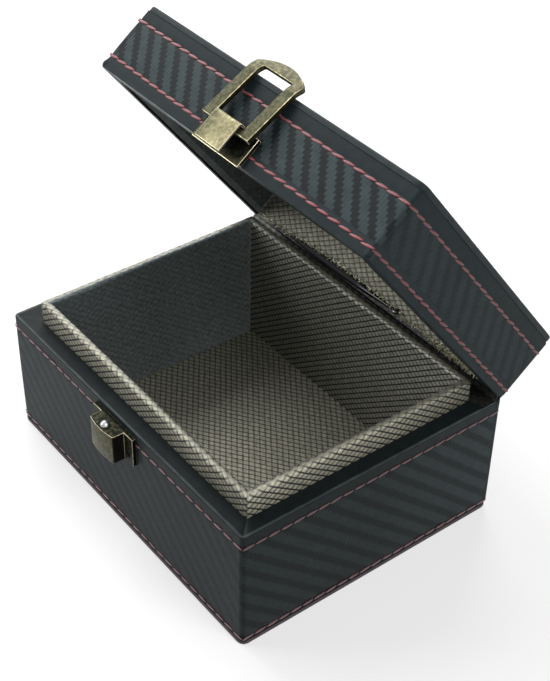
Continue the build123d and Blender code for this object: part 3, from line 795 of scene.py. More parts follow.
def makeTrayLining():
    low, high = trayLow, trayHigh
    wall = nodeBox("tray_left_lining")[1][0] - low[0]
    step = liningForm["step"]
    outer, outward, along = wallPath(low, high, liningForm["outerCorner"], step, closed=True)
    inner = wallPath(low + wall, high - wall, liningForm["innerCorner"], step, closed=True)[0]
    inner = resampled(inner, along / along[-1])
    floorTop = nodeBox("tray_floor_lining")[1][2]
    bend = liningForm["rimRound"]
    rimFrom = high[2] - bend
    arc = np.linspace(0, pi / 2, 6)
    # up the outside, over the rim and down the inside
    collar = spread(liningForm["collarFrom"], rimFrom, liningForm["collarRise"])
    rising = np.r_[low[2], liningForm["outside"], collar]
    falling = spread(rimFrom, floorTop, liningForm["insideRise"])[1:]
    up = np.r_[rising, rimFrom + bend * np.sin(arc[1:]), high[2] + liningForm["rimRise"]]
    up = np.r_[up, rimFrom + bend * np.cos(arc), falling]
    inset = np.r_[np.zeros(len(rising)), bend - bend * np.cos(arc[1:]), wall / 2]
    inset = np.r_[inset, wall - bend + bend * np.sin(arc), np.full(len(falling), wall)]
    travel = distances(np.column_stack([up, inset]))
    mix = (inset / wall)[:, None, None]
    flat = outer[None] * (1 - mix) + inner[None] * mix
    slack = liningForm["slack"] * ripple(along[None], travel[:, None], seed=21, size=liningForm["slackSize"])
    side = np.where(inset < wall / 2, 1.0, -1.0) * (np.abs(up - high[2]) > bend)
    flat = flat + outward[None] * (slack * side[:, None])[..., None]
    wave = liningForm["rimWave"] * ripple(along, along * 0, seed=22, size=liningForm["rimWaveSize"])
    z = up[:, None] + wave[None] * (up[:, None] > high[2] - 1.5 * mm)
    nearRim = liningForm["rimFade"] * bell(travel - travel[np.argmax(up)], 1.0 * mm)[:, None]
    # the left wall inside gets a fainter grid and a cooler grey, with painted shade at its front and painted light
    # at its back
    inside = (inset > wall / 2)[:, None]
    plain = inside & (outer[:, 0] < low[0] + 1e-4)[None]
    fade = np.clip(np.maximum(nearRim, plain * liningForm["rimFade"]), 0, 1)
    # painted light and shade on some walls: the right one outside, the back one inside
    onRight = (outer[:, 0] > high[0] - 1e-4)[None] & ~inside
    onBack = (outer[:, 1] > high[1] - 1e-4)[None] & inside
    spots = [low[1], (low[1] + high[1]) / 2, high[1]]
    wearAndLight = onRight * np.interp(outer[:, 1], spots, trayForm["right"])[None]
    wearAndLight = wearAndLight + onBack * np.interp(outer[:, 0], [0, high[0]], trayForm["back"])[None]
    # painted shade: cool and darker on the left wall inside, a little along the rim, with the painted light and
    # shade above
    cool = np.maximum(inside * trayForm["coolInside"], plain)
    dim = plain * np.interp(outer[:, 1], spots, trayForm["left"])[None] + nearRim * 0.1 + wearAndLight
    fields = {"edge": fade, "lean": sideLean(outer, low, high)[None], "dim": dim, "cool": cool}
    piece = gridObject("trayLining", np.dstack([flat, z]), along[None], travel[:, None], **fields)
    return settle(piece, "shield_fabric", trayWalls, "base", thickness=liningForm["thickness"])


def sideLean(points, low, high):
    # which way the strong threads lean: one way on the front and back walls, the other on the sides
    onSide = (np.abs(points[:, 0] - low[0]) < 1e-4) | (np.abs(points[:, 0] - high[0]) < 1e-4)
    return np.where(onSide, -1.0, 1.0)


# painted light on the tray's floor: its dim is below 0
floorFabric = {"step": 1.8 * mm, "slack": 0.1 * mm, "slackSize": 30 * mm, "edge": 0.3, "dim": -0.2}


def makeTrayFloor():
    # a glued panel of fabric, slightly uneven
    low, high = nodeBox("tray_floor_lining")
    x, y = np.meshgrid(*[spread(low[k], high[k], floorFabric["step"]) for k in (0, 1)])
    z = high[2] + floorFabric["slack"] * ripple(x, y, seed=31, size=floorFabric["slackSize"])
    fields = {"edge": floorFabric["edge"], "lean": 1.0, "dim": floorFabric["dim"]}
    piece = gridObject("trayFloorLining", np.dstack([x, y, z]), x, y, **fields)
    return settle(piece, "shield_fabric", ("tray_floor_lining",), "base", thickness=liningForm["thickness"])


hemForm = {
    "low": 1.3 * mm,
    "high": 2.2 * mm,
    "ragged": 0.25 * mm,
    "raggedSize": 5 * mm,
    "pull": 6 * mm,          # how far up the lining the hem's shape is felt
    "round": 0.8 * mm,       # the bend into the ceiling
    "corner": 0.4 * mm,
    "places": 421,           # round each ring of the mesh
    "rings": (0.05, 0.12, 0.25, 0.4, 0.6, 0.8),  # over the ceiling, as shares of the way in
    "turnIn": 1.6 * mm,
    "fade": 0.4,             # how faint the grid is
    "dim": 0.22,
    # on the left wall inside, painted shade: a fainter grid, darker and cooler
    "leftFade": 0.85,
    "leftDim": 0.15,
}


def makeLidLining():
    # a shallow open box of fabric glued inside the lid, with a ragged hem along the back
    low, high = hollowLow, hollowHigh
    width, depth = (high - low)[:2]
    bend = hemForm["round"]
    arc = np.linspace(0, pi / 2, 5)
    walls = spread(low[2], high[2] - bend, liningForm["lidRise"])
    over = np.array(hemForm["rings"])
    up = np.r_[walls, high[2] - bend + bend * np.sin(arc[1:]), np.full(len(over), high[2])]
    inset = np.r_[np.zeros(len(walls)), bend - bend * np.cos(arc[1:])]
    inset = np.r_[inset, bend + over * (min(width, depth) / 2 - bend)]
    travel = distances(np.column_stack([up, inset]))
    share = np.linspace(0, 1, hemForm["places"])
    corner, step = hemForm["corner"], liningForm["step"]
    rings = [wallPath(low + gap, high - gap, corner, step, closed=True)[0] for gap in inset]
    flat = np.array([resampled(ring, share) for ring in rings])
    x, y = flat[0].T
    onBack = np.abs(y - high[1]) < 1e-5
    hem = hemForm["low"] + (hemForm["high"] - hemForm["low"]) * (x - low[0]) / width
    hem = hem + hemForm["ragged"] * ripple(x, x * 0, seed=41, size=hemForm["raggedSize"])
    pulled = np.clip(1 - (up - low[2]) / hemForm["pull"], 0, 1)[:, None]
    grid = np.dstack([flat, up[:, None] + np.where(onBack, hem - low[2], 0.0)[None] * pulled])
    onCeiling = (np.arange(len(up)) > len(walls) + 2)[:, None]
    across = np.where(onCeiling, grid[..., 0], share[None] * 2 * (width + depth))
    upward = np.where(onCeiling, grid[..., 1], travel[:, None])
    # painted shade on the left wall inside: a fainter grid, darker and cooler
    onLeft = (x < low[0] + 1e-5)[None] & (up < high[2] - bend)[:, None]
    fade = np.where(onLeft, hemForm["leftFade"], hemForm["fade"])
    dim = np.where(onLeft, hemForm["leftDim"], hemForm["dim"])
    fields = {"edge": fade, "lean": -1.0, "dim": dim, "cool": onLeft}
    piece = gridObject("lidLining", grid, across, upward, flip=True, caps=((-1, True),), **fields)
    # the leatherette is turned in over the front and side walls; the fabric covers the back and the ceiling
    for face in piece.data.polygons:
        _, y, z = face.center
        face.material_index = int(y < high[1] - 0.5 * mm and z < low[2] + hemForm["turnIn"])
    replaced = [f"lid_{side}_lining" for side in ("front", "back", "left", "right", "ceiling")]
    inward, turnedIn = -liningForm["thickness"], (materials["leatherette"],)
    settle(piece, "shield_fabric", replaced, "lid", lidSpace, thickness=inward, extra=turnedIn)
    return flat[0][onBack], hem[onBack]


makeTrayLining()
makeTrayFloor()
hemPlaces, hemHeights = makeLidLining()
print("fabric linings made")

hingeForm = {
    "step": 2 * mm,
    "fine": 0.35 * mm,           # mesh spacing round the bend
    "leatherDown": 4.0 * mm,     # how far the strip reaches down the back of the base
    "leatherUp": 6.0 * mm,       # and up the back of the lid
    "standsOff": 0.5 * mm,
    "bendsFrom": 0.8 * mm,       # each side of the hinge line
    "leather": 0.45 * mm,
    "fabric": 0.35 * mm,
    "fabricUp": 0.12 * mm,       # over the lid's rim
    "fabricFrom": -1.3 * mm,     # where it comes on to the lid
    "wave": 0.06 * mm,
    "waveSize": 11 * mm,
    "darkens": (45 * mm, 56 * mm),   # between these places the painted shade on the fabric deepens towards its right end
    "dim": (0.62, 0.88),
}


def sectionStrip(name, section, x, **fields):
    # a strip of sheet along x with the given section in y and z, in the row frame
    x = x[None]
    section = np.array(section)
    length = distances(section)[-1]
    share = np.linspace(0, 1, max(12, int(length / hingeForm["fine"])))
    y, z = resampled(section, share).T
    along = share[:, None] * length
    wave = hingeForm["wave"] * ripple(x, along, seed=51, size=hingeForm["waveSize"])
    grid = np.dstack([x + wave * 0, y[:, None] + wave, z[:, None] + wave * 0.5])
    return gridObject(name, grid, x, along, **fields)


def lidToRow(y, z):
    spot = lidSpace @ Vector((0, y, z))
    return (spot.y, spot.z)


def makeHingeLeather():
    # outside: from the back of the base, round the hinge line, to the back of the lid
    out, bend = hingeForm["standsOff"], hingeForm["bendsFrom"]
    down, up = hingeForm["leatherDown"], hingeForm["leatherUp"]
    y, z = hingeAt.y, hingeAt.z
    onBase = [(y + 0.1 * mm, z - down), (y + out, z - down + 0.4 * mm), (y + out, z - 0.6 * mm)]
    onLid = [lidToRow(out, bend), lidToRow(out, up - 0.4 * mm), lidToRow(0.1 * mm, up)]
    reach = nodeBox("hinge_leather")[1][0]
    x = spread(reach, -reach, hingeForm["step"])
    piece = sectionStrip("hingeLeather", [*onBase, (y + out * 0.9, z), *onLid], x, emboss=0.0, edge=0.3)
    settle(piece, "hinge_leatherette", ("hinge_leather",), None, thickness=hingeForm["leather"])
    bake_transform(piece)


def makeHingeLining():
    # inside: from the collar, over the back of the ledge, to the foot of the lid's back lining
    top = linerHigh[2]
    wall = -lidForm["wall"]
    leaves = lidToRow(hingeForm["fabricFrom"], hingeForm["fabricUp"])
    onBase = [(linerLow[1] + 0.05 * mm, top), (linerHigh[1] - 0.2 * mm, top)]
    foot = [(0, hingeForm["fabricUp"]), (-0.15 * mm, 0.3 * mm), (-0.12 * mm, 1.9 * mm)]
    onLid = [leaves, *[lidToRow(wall + y, z) for y, z in foot]]
    x = spread(linerLow[0], linerHigh[0], hingeForm["step"])
    # painted shade over all the fabric, deeper at its right end, and tinted cool
    dim = np.interp(x, hingeForm["darkens"], hingeForm["dim"])[None]
    piece = sectionStrip("hingeLining", onBase + onLid, x, edge=0.5, lean=1.0, cool=0.5, dim=dim)
    settle(piece, "shield_fabric", ("hinge_lining",), None, thickness=hingeForm["fabric"])
    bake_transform(piece)


strapForm = {
    "halfHeight": 1.7 * mm,
    "endHeight": 0.25 * mm,      # half its height at its two ends
    "widest": 0.42,              # share of the length from the left where it is widest
    "rise": (1.5 * mm, 2.4 * mm),  # height of its middle at the left and right end
    "depth": 1.0 * mm,
    "endDepth": 0.35 * mm,
    "girth": 8 * mm,             # length of pattern once round it
    "along": 90,                 # places along it
    "round": 17,                 # and round it
    "flatBack": 0.25,            # its back is cut flat at this share of its depth
    "gap": 0.05 * mm,            # behind it
    "matt": (0.4, -0.12),        # its rubbed left part; only the right end still shines
    "shinesFrom": (0.61, 0.71),
}


def strapShape(share):
    # how plump the strap is at a share of its length, half its height there, and the height of its middle
    bent = np.clip(share, 0, 1) ** (np.log(0.5) / np.log(strapForm["widest"]))
    plump = np.sin(pi * bent) ** 0.8
    half = strapForm["endHeight"] + (strapForm["halfHeight"] - strapForm["endHeight"]) * plump
    middle = strapForm["rise"][0] + (strapForm["rise"][1] - strapForm["rise"][0]) * share
    return plump, half, np.maximum(middle, half + strapForm["endHeight"])


def makeStrap():
    # a glossy lens of folded leather along the foot of the lid's back lining
    low, high = nodeBox("hinge_strap", lidSpace)
    share = np.linspace(0, 1, strapForm["along"])
    x = (low[0] + share * (high[0] - low[0]))[:, None]
    plump, half, middle = strapShape(share)
    turn = np.linspace(0, 2 * pi, strapForm["round"])[None]
    flatBack = strapForm["flatBack"]
    front = (np.maximum(-np.cos(turn), -flatBack) + flatBack) / (1 + flatBack)
    depth = (strapForm["endDepth"] + (strapForm["depth"] - strapForm["endDepth"]) * plump)[:, None]
    y = high[1] - strapForm["gap"] - front * depth
    z = middle[:, None] - np.sin(turn) * half[:, None]
    matt = np.interp(share, strapForm["shinesFrom"], strapForm["matt"])[:, None]
    fields = {"emboss": 0.0, "edge": 0.0, "matt": matt}
    travel = turn / (2 * pi) * strapForm["girth"]
    grid = np.dstack(np.broadcast_arrays(x, y, z))
    piece = gridObject("hingeStrap", grid, travel, x, flip=True, caps=((0, False), (-1, True)), **fields)
    return settle(piece, "hinge_leatherette", ("hinge_strap",), "lid", lidSpace, sharp=60)


# the tack's dome from its foot to its top: shares of its radius, and of its height
tackForm = {
    "width": (0.7, 1.0, 1.0, 0.93, 0.78, 0.55, 0.28, 0.06),
    "rise": (0.0, 0.08, 0.25, 0.5, 0.72, 0.88, 0.97, 1.0),
    "round": 25,                 # places round it
}


def makeTack():
    # a domed tack head driven through the right end of the strap
    low, high = nodeBox("strap_tack", lidSpace)
    radius = (high[0] - low[0]) / 2
    middle = (low + high) / 2
    width, rise = (np.array(tackForm[key])[:, None] for key in ("width", "rise"))
    turn = np.linspace(0, 2 * pi, tackForm["round"])[None]
    x = middle[0] + width * radius * np.cos(turn)
    y = high[1] - rise * (high[1] - low[1])
    z = middle[2] + width * radius * np.sin(turn)
    grid = np.dstack(np.broadcast_arrays(x, y, z))
    piece = gridObject("strapTack", grid, turn * radius, 0.0, caps=((0, True), (-1, False)))
    return settle(piece, "blackened_steel", ("strap_tack",), "lid", lidSpace, sharp=50)


makeHingeLeather()
makeHingeLining()
makeStrap()
makeTack()
print("hinge made")


def growthTree(name, sizes, grow):
    # at each pitch along every edge path of the mesh, one of what the given function makes
    tree = bpy.data.node_groups.new(name, "GeometryNodeTree")
    kinds = {"Geometry": "Geometry", **dict.fromkeys(sizes, "Float"), "Seed": "Int", "Material": "Material"}
    for label, kind in kinds.items():
        tree.interface.new_socket(label, in_out="INPUT", socket_type="NodeSocket" + kind)
    tree.interface.new_socket("Geometry", in_out="OUTPUT", socket_type="NodeSocketGeometry")
    given = add(tree, "NodeGroupInput").outputs
    path = add(tree, "GeometryNodeMeshToCurve", {"Mesh": given["Geometry"]})
    places = add(tree, "GeometryNodeResampleCurve", {"Curve": path, "Length": given["Pitch"]}, mode="LENGTH")
    piece, turn, size = grow(tree, given)
    laid = {"Points": places, "Instance": piece, "Rotation": turn, "Scale": size}
    real = add(tree, "GeometryNodeRealizeInstances", [add(tree, "GeometryNodeInstanceOnPoints", laid)])
    made = add(tree, "GeometryNodeSetMaterial", {"Geometry": real, "Material": given["Material"]})
    add(tree, "NodeGroupOutput", [made])
    return tree


def oneStitch(tree, given):
    # a stitch that lies along the path, tilted up to the right
    ball = add(tree, "GeometryNodeMeshUVSphere", {"Segments": 8, "Rings": 7, "Radius": 0.5})
    place = {"Geometry": ball, "Name": "threadPlace", "Value": ball.outputs["UV Map"]}
    marked = add(tree, "GeometryNodeStoreNamedAttribute", place, data_type="FLOAT2", domain="CORNER")
    lying = add(tree, "GeometryNodeTransform", {"Geometry": marked, "Rotation": (0, pi / 2, 0)})
    outward = add(tree, "GeometryNodeInputNamedAttribute", {"Name": "outward"}, data_type="FLOAT_VECTOR")
    ways = {"Primary Axis": add(tree, "GeometryNodeInputTangent"), "Secondary Axis": outward}
    facing = add(tree, "FunctionNodeAxesToRotation", ways, primary_axis="X", secondary_axis="Z")
    uneven = {2: -stitchForm["uneven"], 3: stitchForm["uneven"], 8: given["Seed"]}
    tilt = add(tree, "FunctionNodeRandomValue", uneven, data_type="FLOAT")
    tilt = add(tree, "Math", (given["Tilt"], tilt), operation="ADD")
    tilt = add(tree, "FunctionNodeAxisAngleToRotation", {"Axis": (0, 0, 1), "Angle": tilt})
    tilted = add(tree, "FunctionNodeRotateRotation", (facing, tilt), rotation_space="LOCAL")
    lengths = {2: stitchForm["stretch"][0], 3: stitchForm["stretch"][1], 8: given["Seed"]}
    long = add(tree, "FunctionNodeRandomValue", lengths, data_type="FLOAT")
    long = add(tree, "Math", (given["Length"], long), operation="MULTIPLY")
    size = add(tree, "CombineXYZ", (long, given["Width"], given["Height"]))
    return lying, tilted, size


def oneFibre(tree, given):
    # a loose bent thread that hangs down and stands off
    curve = {"Resolution": 4, "Start": (0, 0, 0), "Middle": (0.1, 0, 0.6), "End": (0.55, 0, 0.85)}
    bend = add(tree, "GeometryNodeCurveQuadraticBezier", curve)
    section = add(tree, "GeometryNodeCurvePrimitiveCircle", {"Resolution": 4, "Radius": given["Radius"]})
    fibre = {"Curve": bend, "Profile Curve": section, "Fill Caps": True}
    plain = {"Geometry": add(tree, "GeometryNodeCurveToMesh", fibre), "Name": "edge", "Value": 1.0}
    plain = add(tree, "GeometryNodeStoreNamedAttribute", plain, data_type="FLOAT")
    turns = [tuple(radians(angle) for angle in turn) for turn in hemFibres["turns"]]
    turn = {0: turns[0], 1: turns[1], 8: given["Seed"]}
    turn = add(tree, "FunctionNodeRandomValue", turn, data_type="FLOAT_VECTOR")
    long = {2: given["Short"], 3: given["Long"], 8: given["Seed"]}
    return plain, turn, add(tree, "FunctionNodeRandomValue", long, data_type="FLOAT")


def grownPiece(name, tree, lines, values):
    # a mesh of edge paths, each with its outward direction, and what the node tree grows along them
    edges, first = [], 0
    for places, *_ in lines:
        edges += [(first + i, first + i + 1) for i in range(len(places) - 1)]
        first += len(places)
    places, outward, dim, greyedHighlight = (np.concatenate(column) for column in zip(*lines))
    mesh = bpy.data.meshes.new(name)
    mesh.from_pydata(places.tolist(), edges, [])
    mesh.attributes.new("outward", "FLOAT_VECTOR", "POINT")
    mesh.attributes["outward"].data.foreach_set("vector", outward.astype(np.float32).ravel())
    for key, field in (("dim", dim), ("greyedHighlight", greyedHighlight)):
        mesh.attributes.new(key, "FLOAT", "POINT").data.foreach_set("value", field.astype(np.float32))
    piece = linked(name, mesh)
    growth = piece.modifiers.new("growth", "NODES")
    growth.node_group = tree
    for item in tree.interface.items_tree:
        if item.in_out == "INPUT" and item.name in values:
            growth[item.identifier] = values[item.name]
    return piece


hemFibres = {
    "pitch": 0.25 * mm,
    "short": 0.5 * mm,
    "long": 1.6 * mm,
    "radius": 0.1,           # as a share of a thread's length
    "seed": 12,
    "turns": ((75, -70, -40), (175, 70, 40)),  # degrees, from the least to the most
    "standsOff": 0.3 * mm,
    "raggedFrom": 34 * mm,
    "runs": ((0.0, -2.2), (0.5 * mm, -1.6), (1.1 * mm, -1.6)),  # how far down each run is, and its darkening, here below 0: painted light that makes the loose threads pale
}


def makeHemFibres():
    # the cut hem of the lid's back lining, with more loose threads at its right end
    low, high = nodeBox("hinge_strap", lidSpace)
    share = (hemPlaces[:, 0] - low[0]) / (high[0] - low[0])
    plump, half, middle = strapShape(share)
    onStrap = (share > 0) & (share < 1)
    # the hem lies on the strap where there is one
    top = np.where(onStrap, np.maximum(hemHeights, middle + half * 0.9), hemHeights)
    overStrap = strapForm["endDepth"] + 0.3 * strapForm["depth"] * plump
    out = np.where(onStrap, overStrap, hemFibres["standsOff"])
    hem = np.column_stack([hemPlaces[:, 0], hemPlaces[:, 1] - out, top])
    hem = hem[np.argsort(hem[:, 0])]
    ragged = hem[hem[:, 0] > hemFibres["raggedFrom"]]
    lines = []
    for run, (lower, dim) in zip((hem, ragged, ragged), hemFibres["runs"]):
        places = run - np.array((0, 0, lower))
        outward = np.tile((0, -1.0, 0), (len(run), 1))
        lines.append((places, outward, np.full(len(run), dim), np.zeros(len(run))))
    tree = growthTree("frayedHem", ("Pitch", "Short", "Long", "Radius"), oneFibre)
    values = {key.capitalize(): hemFibres[key] for key in ("pitch", "short", "long", "radius", "seed")}
    piece = grownPiece("hemFibres", tree, lines, {**values, "Material": materials["shield_fabric"]})
    return settle(piece, "shield_fabric", None, "lid", lidSpace, sharp=80)


stitchForm = {
    "pitch": 4.5 * mm,
    "height": 0.6 * mm,
    "seed": 4,
    "fromEnd": 0.4 * mm,
    "fromCorner": 1.9 * mm,
    "brassDepth": 2 * mm,    # how near the front a row has to be for the brass to cover it
    "step": 0.25 * mm,       # of the path
    "fewest": 8,             # steps in a run that is kept
    "uneven": radians(3),    # either way from the tilt
    "stretch": (0.9, 1.04),  # of the length
}
# painted shade, dim, runs from the left side over the front to the right side, in the upper and in the lower row
baseThread = {
    "tilt": radians(5),
    "length": 4.6 * mm,
    "width": 1.05 * mm,
    "lift": -0.03 * mm,
    "dim": ((0.15, 0.15, 0.5), (0.15, 0.15, 0.1)),
    "greyedHighlight": (0.55, 0.9),    # in the upper and in the lower row
}
lidThread = {
    "tilt": radians(6.5),
    "length": 5.3 * mm,
    "width": 1.06 * mm,
    "lift": 0.0,
    "dim": ((0.0, 0.0, 0.4), (0.0, 0.0, 0.4)),
    "greyedHighlight": (0.15, 0.0),
}


def stitchLine(path, heights, gap, look, dims, greyedHighlight):
    # the run of one row of stitches round a wall, split where the brass covers it
    points, outward, along = path
    front = points[:, 1].min()
    onFront = np.nonzero(points[:, 1] <= front + 1e-6)[0]
    left, right = along[onFront[0]], along[onFront[-1]]
    fine = np.arange(stitchForm["fromEnd"], along[-1] - stitchForm["fromEnd"], stitchForm["step"])
    x, y, outX, outY = (np.interp(fine, along, axis) for axis in (*points.T, *outward.T))
    z = np.interp(fine, [0, left, right, along[-1]], heights)
    places = np.stack([x + outX * look["lift"], y + outY * look["lift"], z], axis=1)
    dim = np.interp(fine, [left - mm, left, right, right + mm], [dims[k] for k in (0, 1, 1, 2)])
    ways = np.stack([outX, outY, outX * 0], axis=1)
    hidden = (x > gap[0]) & (x < gap[1]) & (np.abs(y - front) < stitchForm["brassDepth"])
    # no stitch lies across a corner: one ends there and the next begins
    turning = np.abs(np.abs(outX) - np.abs(outY))
    for side in (x < 0, x > 0):
        hidden |= np.abs(fine - fine[side][np.argmin(turning[side])]) < stitchForm["fromCorner"]
    runs = np.split(np.arange(len(fine)), np.nonzero(np.diff(hidden.astype(int)))[0] + 1)
    kept = [run for run in runs if not hidden[run[0]] and len(run) > stitchForm["fewest"]]
    return [(places[run], ways[run], dim[run], np.full(len(run), greyedHighlight)) for run in kept]


def makeStitching(name, body, space, path, rows, look):
    # the rows' names, heights and gaps where brass covers them, from the upper to the lower one
    lines = []
    for (heights, gap), dims, greyedHighlight in zip(rows.values(), look["dim"], look["greyedHighlight"]):
        lines += stitchLine(path, rowHeights[heights], gap, look, dims, greyedHighlight)
    sizes = {key.capitalize(): look[key] for key in ("length", "width", "tilt")}
    shared = {key.capitalize(): stitchForm[key] for key in ("pitch", "height", "seed")}
    piece = grownPiece(name, sewing, lines, {**sizes, **shared, "Material": materials["red_thread"]})
    return settle(piece, "red_thread", tuple(rows), body, space, sharp=80)


makeHemFibres()
sewing = growthTree("stitchRow", ("Pitch", "Length", "Width", "Height", "Tilt"), oneStitch)
catchLow, catchHigh = nodeBox("catch_body")
noGap = (0, 0)
behindCatch, behindPlate = (catchLow[0], catchHigh[0]), (plateLow[0], plateHigh[0])
baseRows = {"base_upper_stitching": ("baseUpper", behindCatch), "base_lower_stitching": ("baseLower", noGap)}
lidRows = {"lid_upper_stitching": ("lidUpper", noGap), "lid_lower_stitching": ("lidLower", behindPlate)}
makeStitching("baseStitching", "base", boxSpace, basePath, baseRows, baseThread)
makeStitching("lidStitching", "lid", lidSpace, lidPath, lidRows, lidThread)
print("stitching made")

# How far each face of the brass is rubbed, from 0 to 1, with painted light and shade by the way each face is
# turned, and how its edges are eased.
brassForm = {
    "bevel": 0.2 * mm,
    "sharpest": radians(32),
    "tongueStand": 5.0 * mm,     # the tongue's outer leaf stands further out than this
    "tongue": (0.34, 0.7),       # painted light, brighter from its left to its right
    "fold": 0.42,
    "plate": (0.32, -0.1),       # from the plate's lower edge to its middle: patina, and painted shadow of the loop and tongue
    "plateFades": 4 * mm,
    "loopFace": 0.2,
    # the bent end gets painted light, as it is turned another way than the arms
    "loopEnd": 0.31,
    "loopEndFrom": 2.5 * mm,     # above the lid's top
    "loopSide": 0.2,
    "loopEdge": 0.68,
    "loopLeans": (radians(7.8), radians(27.8)),  # of the arms and of the bent end, back from the lid's front
    # on the catch, painted shade: darker on its top and sides, darkest on the flanges in the shadow of the nose
    "noseFace": 0.27,
    "noseTop": 0.05,
    "flange": 0.02,
    "side": -0.12,
    "stud": 0.8,
}


def onTongue(place):
    # whether a place stands out as far as the tongue's outer leaf, in the lid's space
    return lidLow[1] - place[1] > brassForm["tongueStand"]


platePlaces = [lidSpace.inverted() @ vertex.co for vertex in nodes["hasp_plate"].data.vertices]
tongueAcross = [place[0] for place in platePlaces if onTongue(place)]


def platePolishAndShade(place, facing, middle):
    if onTongue(middle) and facing[1] < -0.5:
        return np.interp(place[0], [min(tongueAcross), max(tongueAcross)], brassForm["tongue"])
    if facing[2] > 0.7:
        return brassForm["fold"]
    return np.interp(place[2], [plateLow[2], plateLow[2] + brassForm["plateFades"]], brassForm["plate"])


def loopPolishAndShade(place, facing, middle):
    # how squarely the facet faces out of the bar or of the bent end
    flat = max(abs(facing[1] * cos(lean) - facing[2] * sin(lean)) for lean in brassForm["loopLeans"])
    if flat < 0.4:
        return brassForm["loopSide"]
    if flat < 0.95:
        return brassForm["loopEdge"]
    isEnd = place[2] > lidHigh[2] + brassForm["loopEndFrom"]
    return brassForm["loopEnd"] if isEnd else brassForm["loopFace"]


def catchPolishAndShade(place, facing, middle):
    if facing[2] > 0.7:
        return brassForm["noseTop"]
    if facing[1] > -0.7 or abs(facing[0]) > 0.5:
        return brassForm["side"]
    return brassForm["noseFace"] if middle[1] < (catchLow[1] + catchHigh[1]) / 2 else brassForm["flange"]


def studPolish(place, facing, middle):
    return brassForm["stud"]


def brassCopy(name, node, body, space, polishAndShade, bevel=brassForm["bevel"], wearAndLight=wornBrass, plated=False):
    # the CAD piece with its facets joined, its hard edges eased, and each face rubbed more or less bright, with
    # painted light and shade by the way it is turned
    mesh = nodes[node].data.copy()
    work = bmesh.new()
    work.from_mesh(mesh)
    bmesh.ops.remove_doubles(work, verts=work.verts, dist=1e-6)
    bmesh.ops.dissolve_limit(work, angle_limit=radians(1), verts=work.verts, edges=work.edges)
    work.to_mesh(mesh)
    work.free()
    back = space.inverted()
    rubbedAndLit = []
    for face in mesh.polygons:
        facing, middle = back.to_3x3() @ face.normal, back @ face.center
        rubbedAndLit += [polishAndShade(back @ mesh.vertices[corner].co, facing, middle) for corner in face.vertices]
    mesh.attributes.new("polishAndShade", "FLOAT", "CORNER").data.foreach_set("value", rubbedAndLit)
    mesh.materials.clear()
    for material in (materials["antique_brass"], wearAndLight):
        mesh.materials.append(material)
    mesh.polygons.foreach_set("material_index", np.full(len(mesh.polygons), int(plated), np.int32))
    piece = linked(name, mesh)
    easing = piece.modifiers.new("easing", "BEVEL")
    easing.width = bevel
    easing.segments = 2
    easing.use_clamp_overlap = False
    easing.limit_method = "ANGLE"
    easing.angle_limit = brassForm["sharpest"]
    easing.material = 1
    return settle(piece, "antique_brass", (node,), body, sharp=30, extra=(wearAndLight,))


brassCopy("haspPlate", "hasp_plate", "lid", lidSpace, platePolishAndShade)
brassCopy("haspLoop", "hasp_loop", "loop", lidSpace, loopPolishAndShade, bevel=0.18 * mm)
brassCopy("catchBody", "catch_body", "base", boxSpace, catchPolishAndShade, bevel=0.12 * mm, wearAndLight=rubbedBrass)
brassCopy("catchStud", "catch_stud", "base", boxSpace, studPolish, wearAndLight=nickelPlate, plated=True)
print("brass made")


def isSeen(tree):
    # 1 where the camera sees the place, itself or by way of metal or glass, and 0 for the light it gives
    rays = add(tree, "LightPath").outputs
    seen = rays["Is Camera Ray"]
    for way in ("Is Glossy Ray", "Is Transmission Ray"):
        seen = add(tree, "Math", (seen, rays[way]), operation="MAXIMUM")
    return seen


floorForm = {"diffuse": 0.55, "glow": 0.5, "size": 6.0}


def makeFloor():
    mesh = bpy.data.meshes.new("floor")
    reach = floorForm["size"] / 2
    corners = [(-reach, -reach, 0), (reach, -reach, 0), (reach, reach, 0), (-reach, reach, 0)]
    mesh.from_pydata(corners, [], [(0, 1, 2, 3)])
    material, tree, _ = newMaterial("paleFloor")
    glow = add(tree, "Math", (isSeen(tree), floorForm["glow"]), operation="MULTIPLY")
    paint = add(tree, "BsdfDiffuse", {"Color": (*[floorForm["diffuse"]] * 3, 1)})
    light = add(tree, "Emission", {"Color": (1, 1, 1, 1), "Strength": glow})
    both = add(tree, "AddShader", (paint, light))
    add(tree, "OutputMaterial", {"Surface": both})
    mesh.materials.append(material)
    linked("floor", mesh)


lightForm = {
    "fill": 0.216,
    "aim": (0, 0, 0.06),
    "size": 0.5,
    "left": {"at": (-0.6364, 0.0, 0.6864), "watts": 4.8},
    "front": {"at": (-0.598, -0.598, 0.3578), "watts": 3.5},
    "right": {"at": (0.6364, 0.0, 0.6864), "watts": 4.1},
    "backLeft": {"at": (-0.5511, 0.5511, 0.5), "watts": 3.2},
}


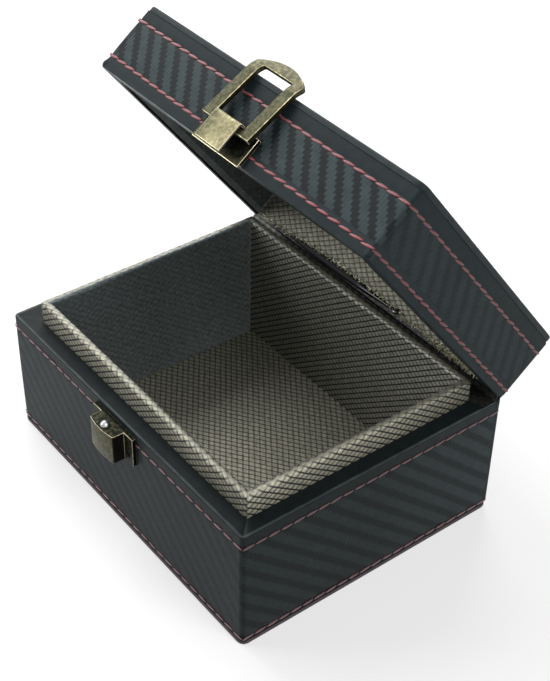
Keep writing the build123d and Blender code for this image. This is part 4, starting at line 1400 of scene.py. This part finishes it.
def makeWorld():
    world = bpy.data.worlds.new("studio")
    bpy.context.scene.world = world
    world.use_nodes = True
    tree = world.node_tree
    tree.nodes.clear()
    strength = add(tree, "MapRange", (isSeen(tree), 0.0, 1.0, lightForm["fill"], 1.0))
    sky = add(tree, "Background", {"Color": (1, 1, 1, 1), "Strength": strength})
    add(tree, "OutputWorld", {"Surface": sky})


def makeLamp(name, spec):
    lamp = bpy.data.lights.new(name, "AREA")
    lamp.shape = "SQUARE"
    lamp.size = lightForm["size"]
    lamp.energy = spec["watts"]
    holder = linked(name, lamp)
    holder.location = spec["at"]
    aim = Vector(lightForm["aim"]) - Vector(spec["at"])
    holder.rotation_euler = aim.to_track_quat("-Z", "Y").to_euler()


cameraForm = {
    "azimuth": radians(51.918),   # round from the front towards the right
    "elevation": radians(38.637),
    "roll": radians(1.126),
    "shiftAcross": 0.00909,       # metres that the camera stands off the line through the origin
    "shiftUp": 0.04133,
    "distance": 0.51381,
    "focalShare": 1481.84 / 681,  # focal length over the picture's height
    "sensor": 36.0,
}


def makeCamera():
    azimuth, elevation, roll = (cameraForm[key] for key in ("azimuth", "elevation", "roll"))
    back = Vector((sin(azimuth) * cos(elevation), -cos(azimuth) * cos(elevation), sin(elevation)))
    level = Vector((cos(azimuth), sin(azimuth), 0))
    rise = back.cross(level)
    across = level * cos(roll) + rise * sin(roll)
    upward = rise * cos(roll) - level * sin(roll)
    camera = bpy.data.cameras.new("camera")
    camera.sensor_fit = "VERTICAL"
    camera.sensor_height = cameraForm["sensor"]
    camera.lens = cameraForm["focalShare"] * cameraForm["sensor"]
    camera.clip_start = 0.01
    holder = linked("camera", camera)
    shift = across * cameraForm["shiftAcross"] + upward * cameraForm["shiftUp"]
    place = shift + back * cameraForm["distance"]
    turn = Matrix((across, upward, back)).transposed().to_4x4()
    holder.matrix_world = Matrix.Translation(place) @ turn
    bpy.context.scene.camera = holder


makeFloor()
makeWorld()
for name in ("left", "front", "right", "backLeft"):
    makeLamp(name, lightForm[name])
makeCamera()
bpy.context.scene.view_settings.view_transform = "Standard"
print("floor, light and camera made")
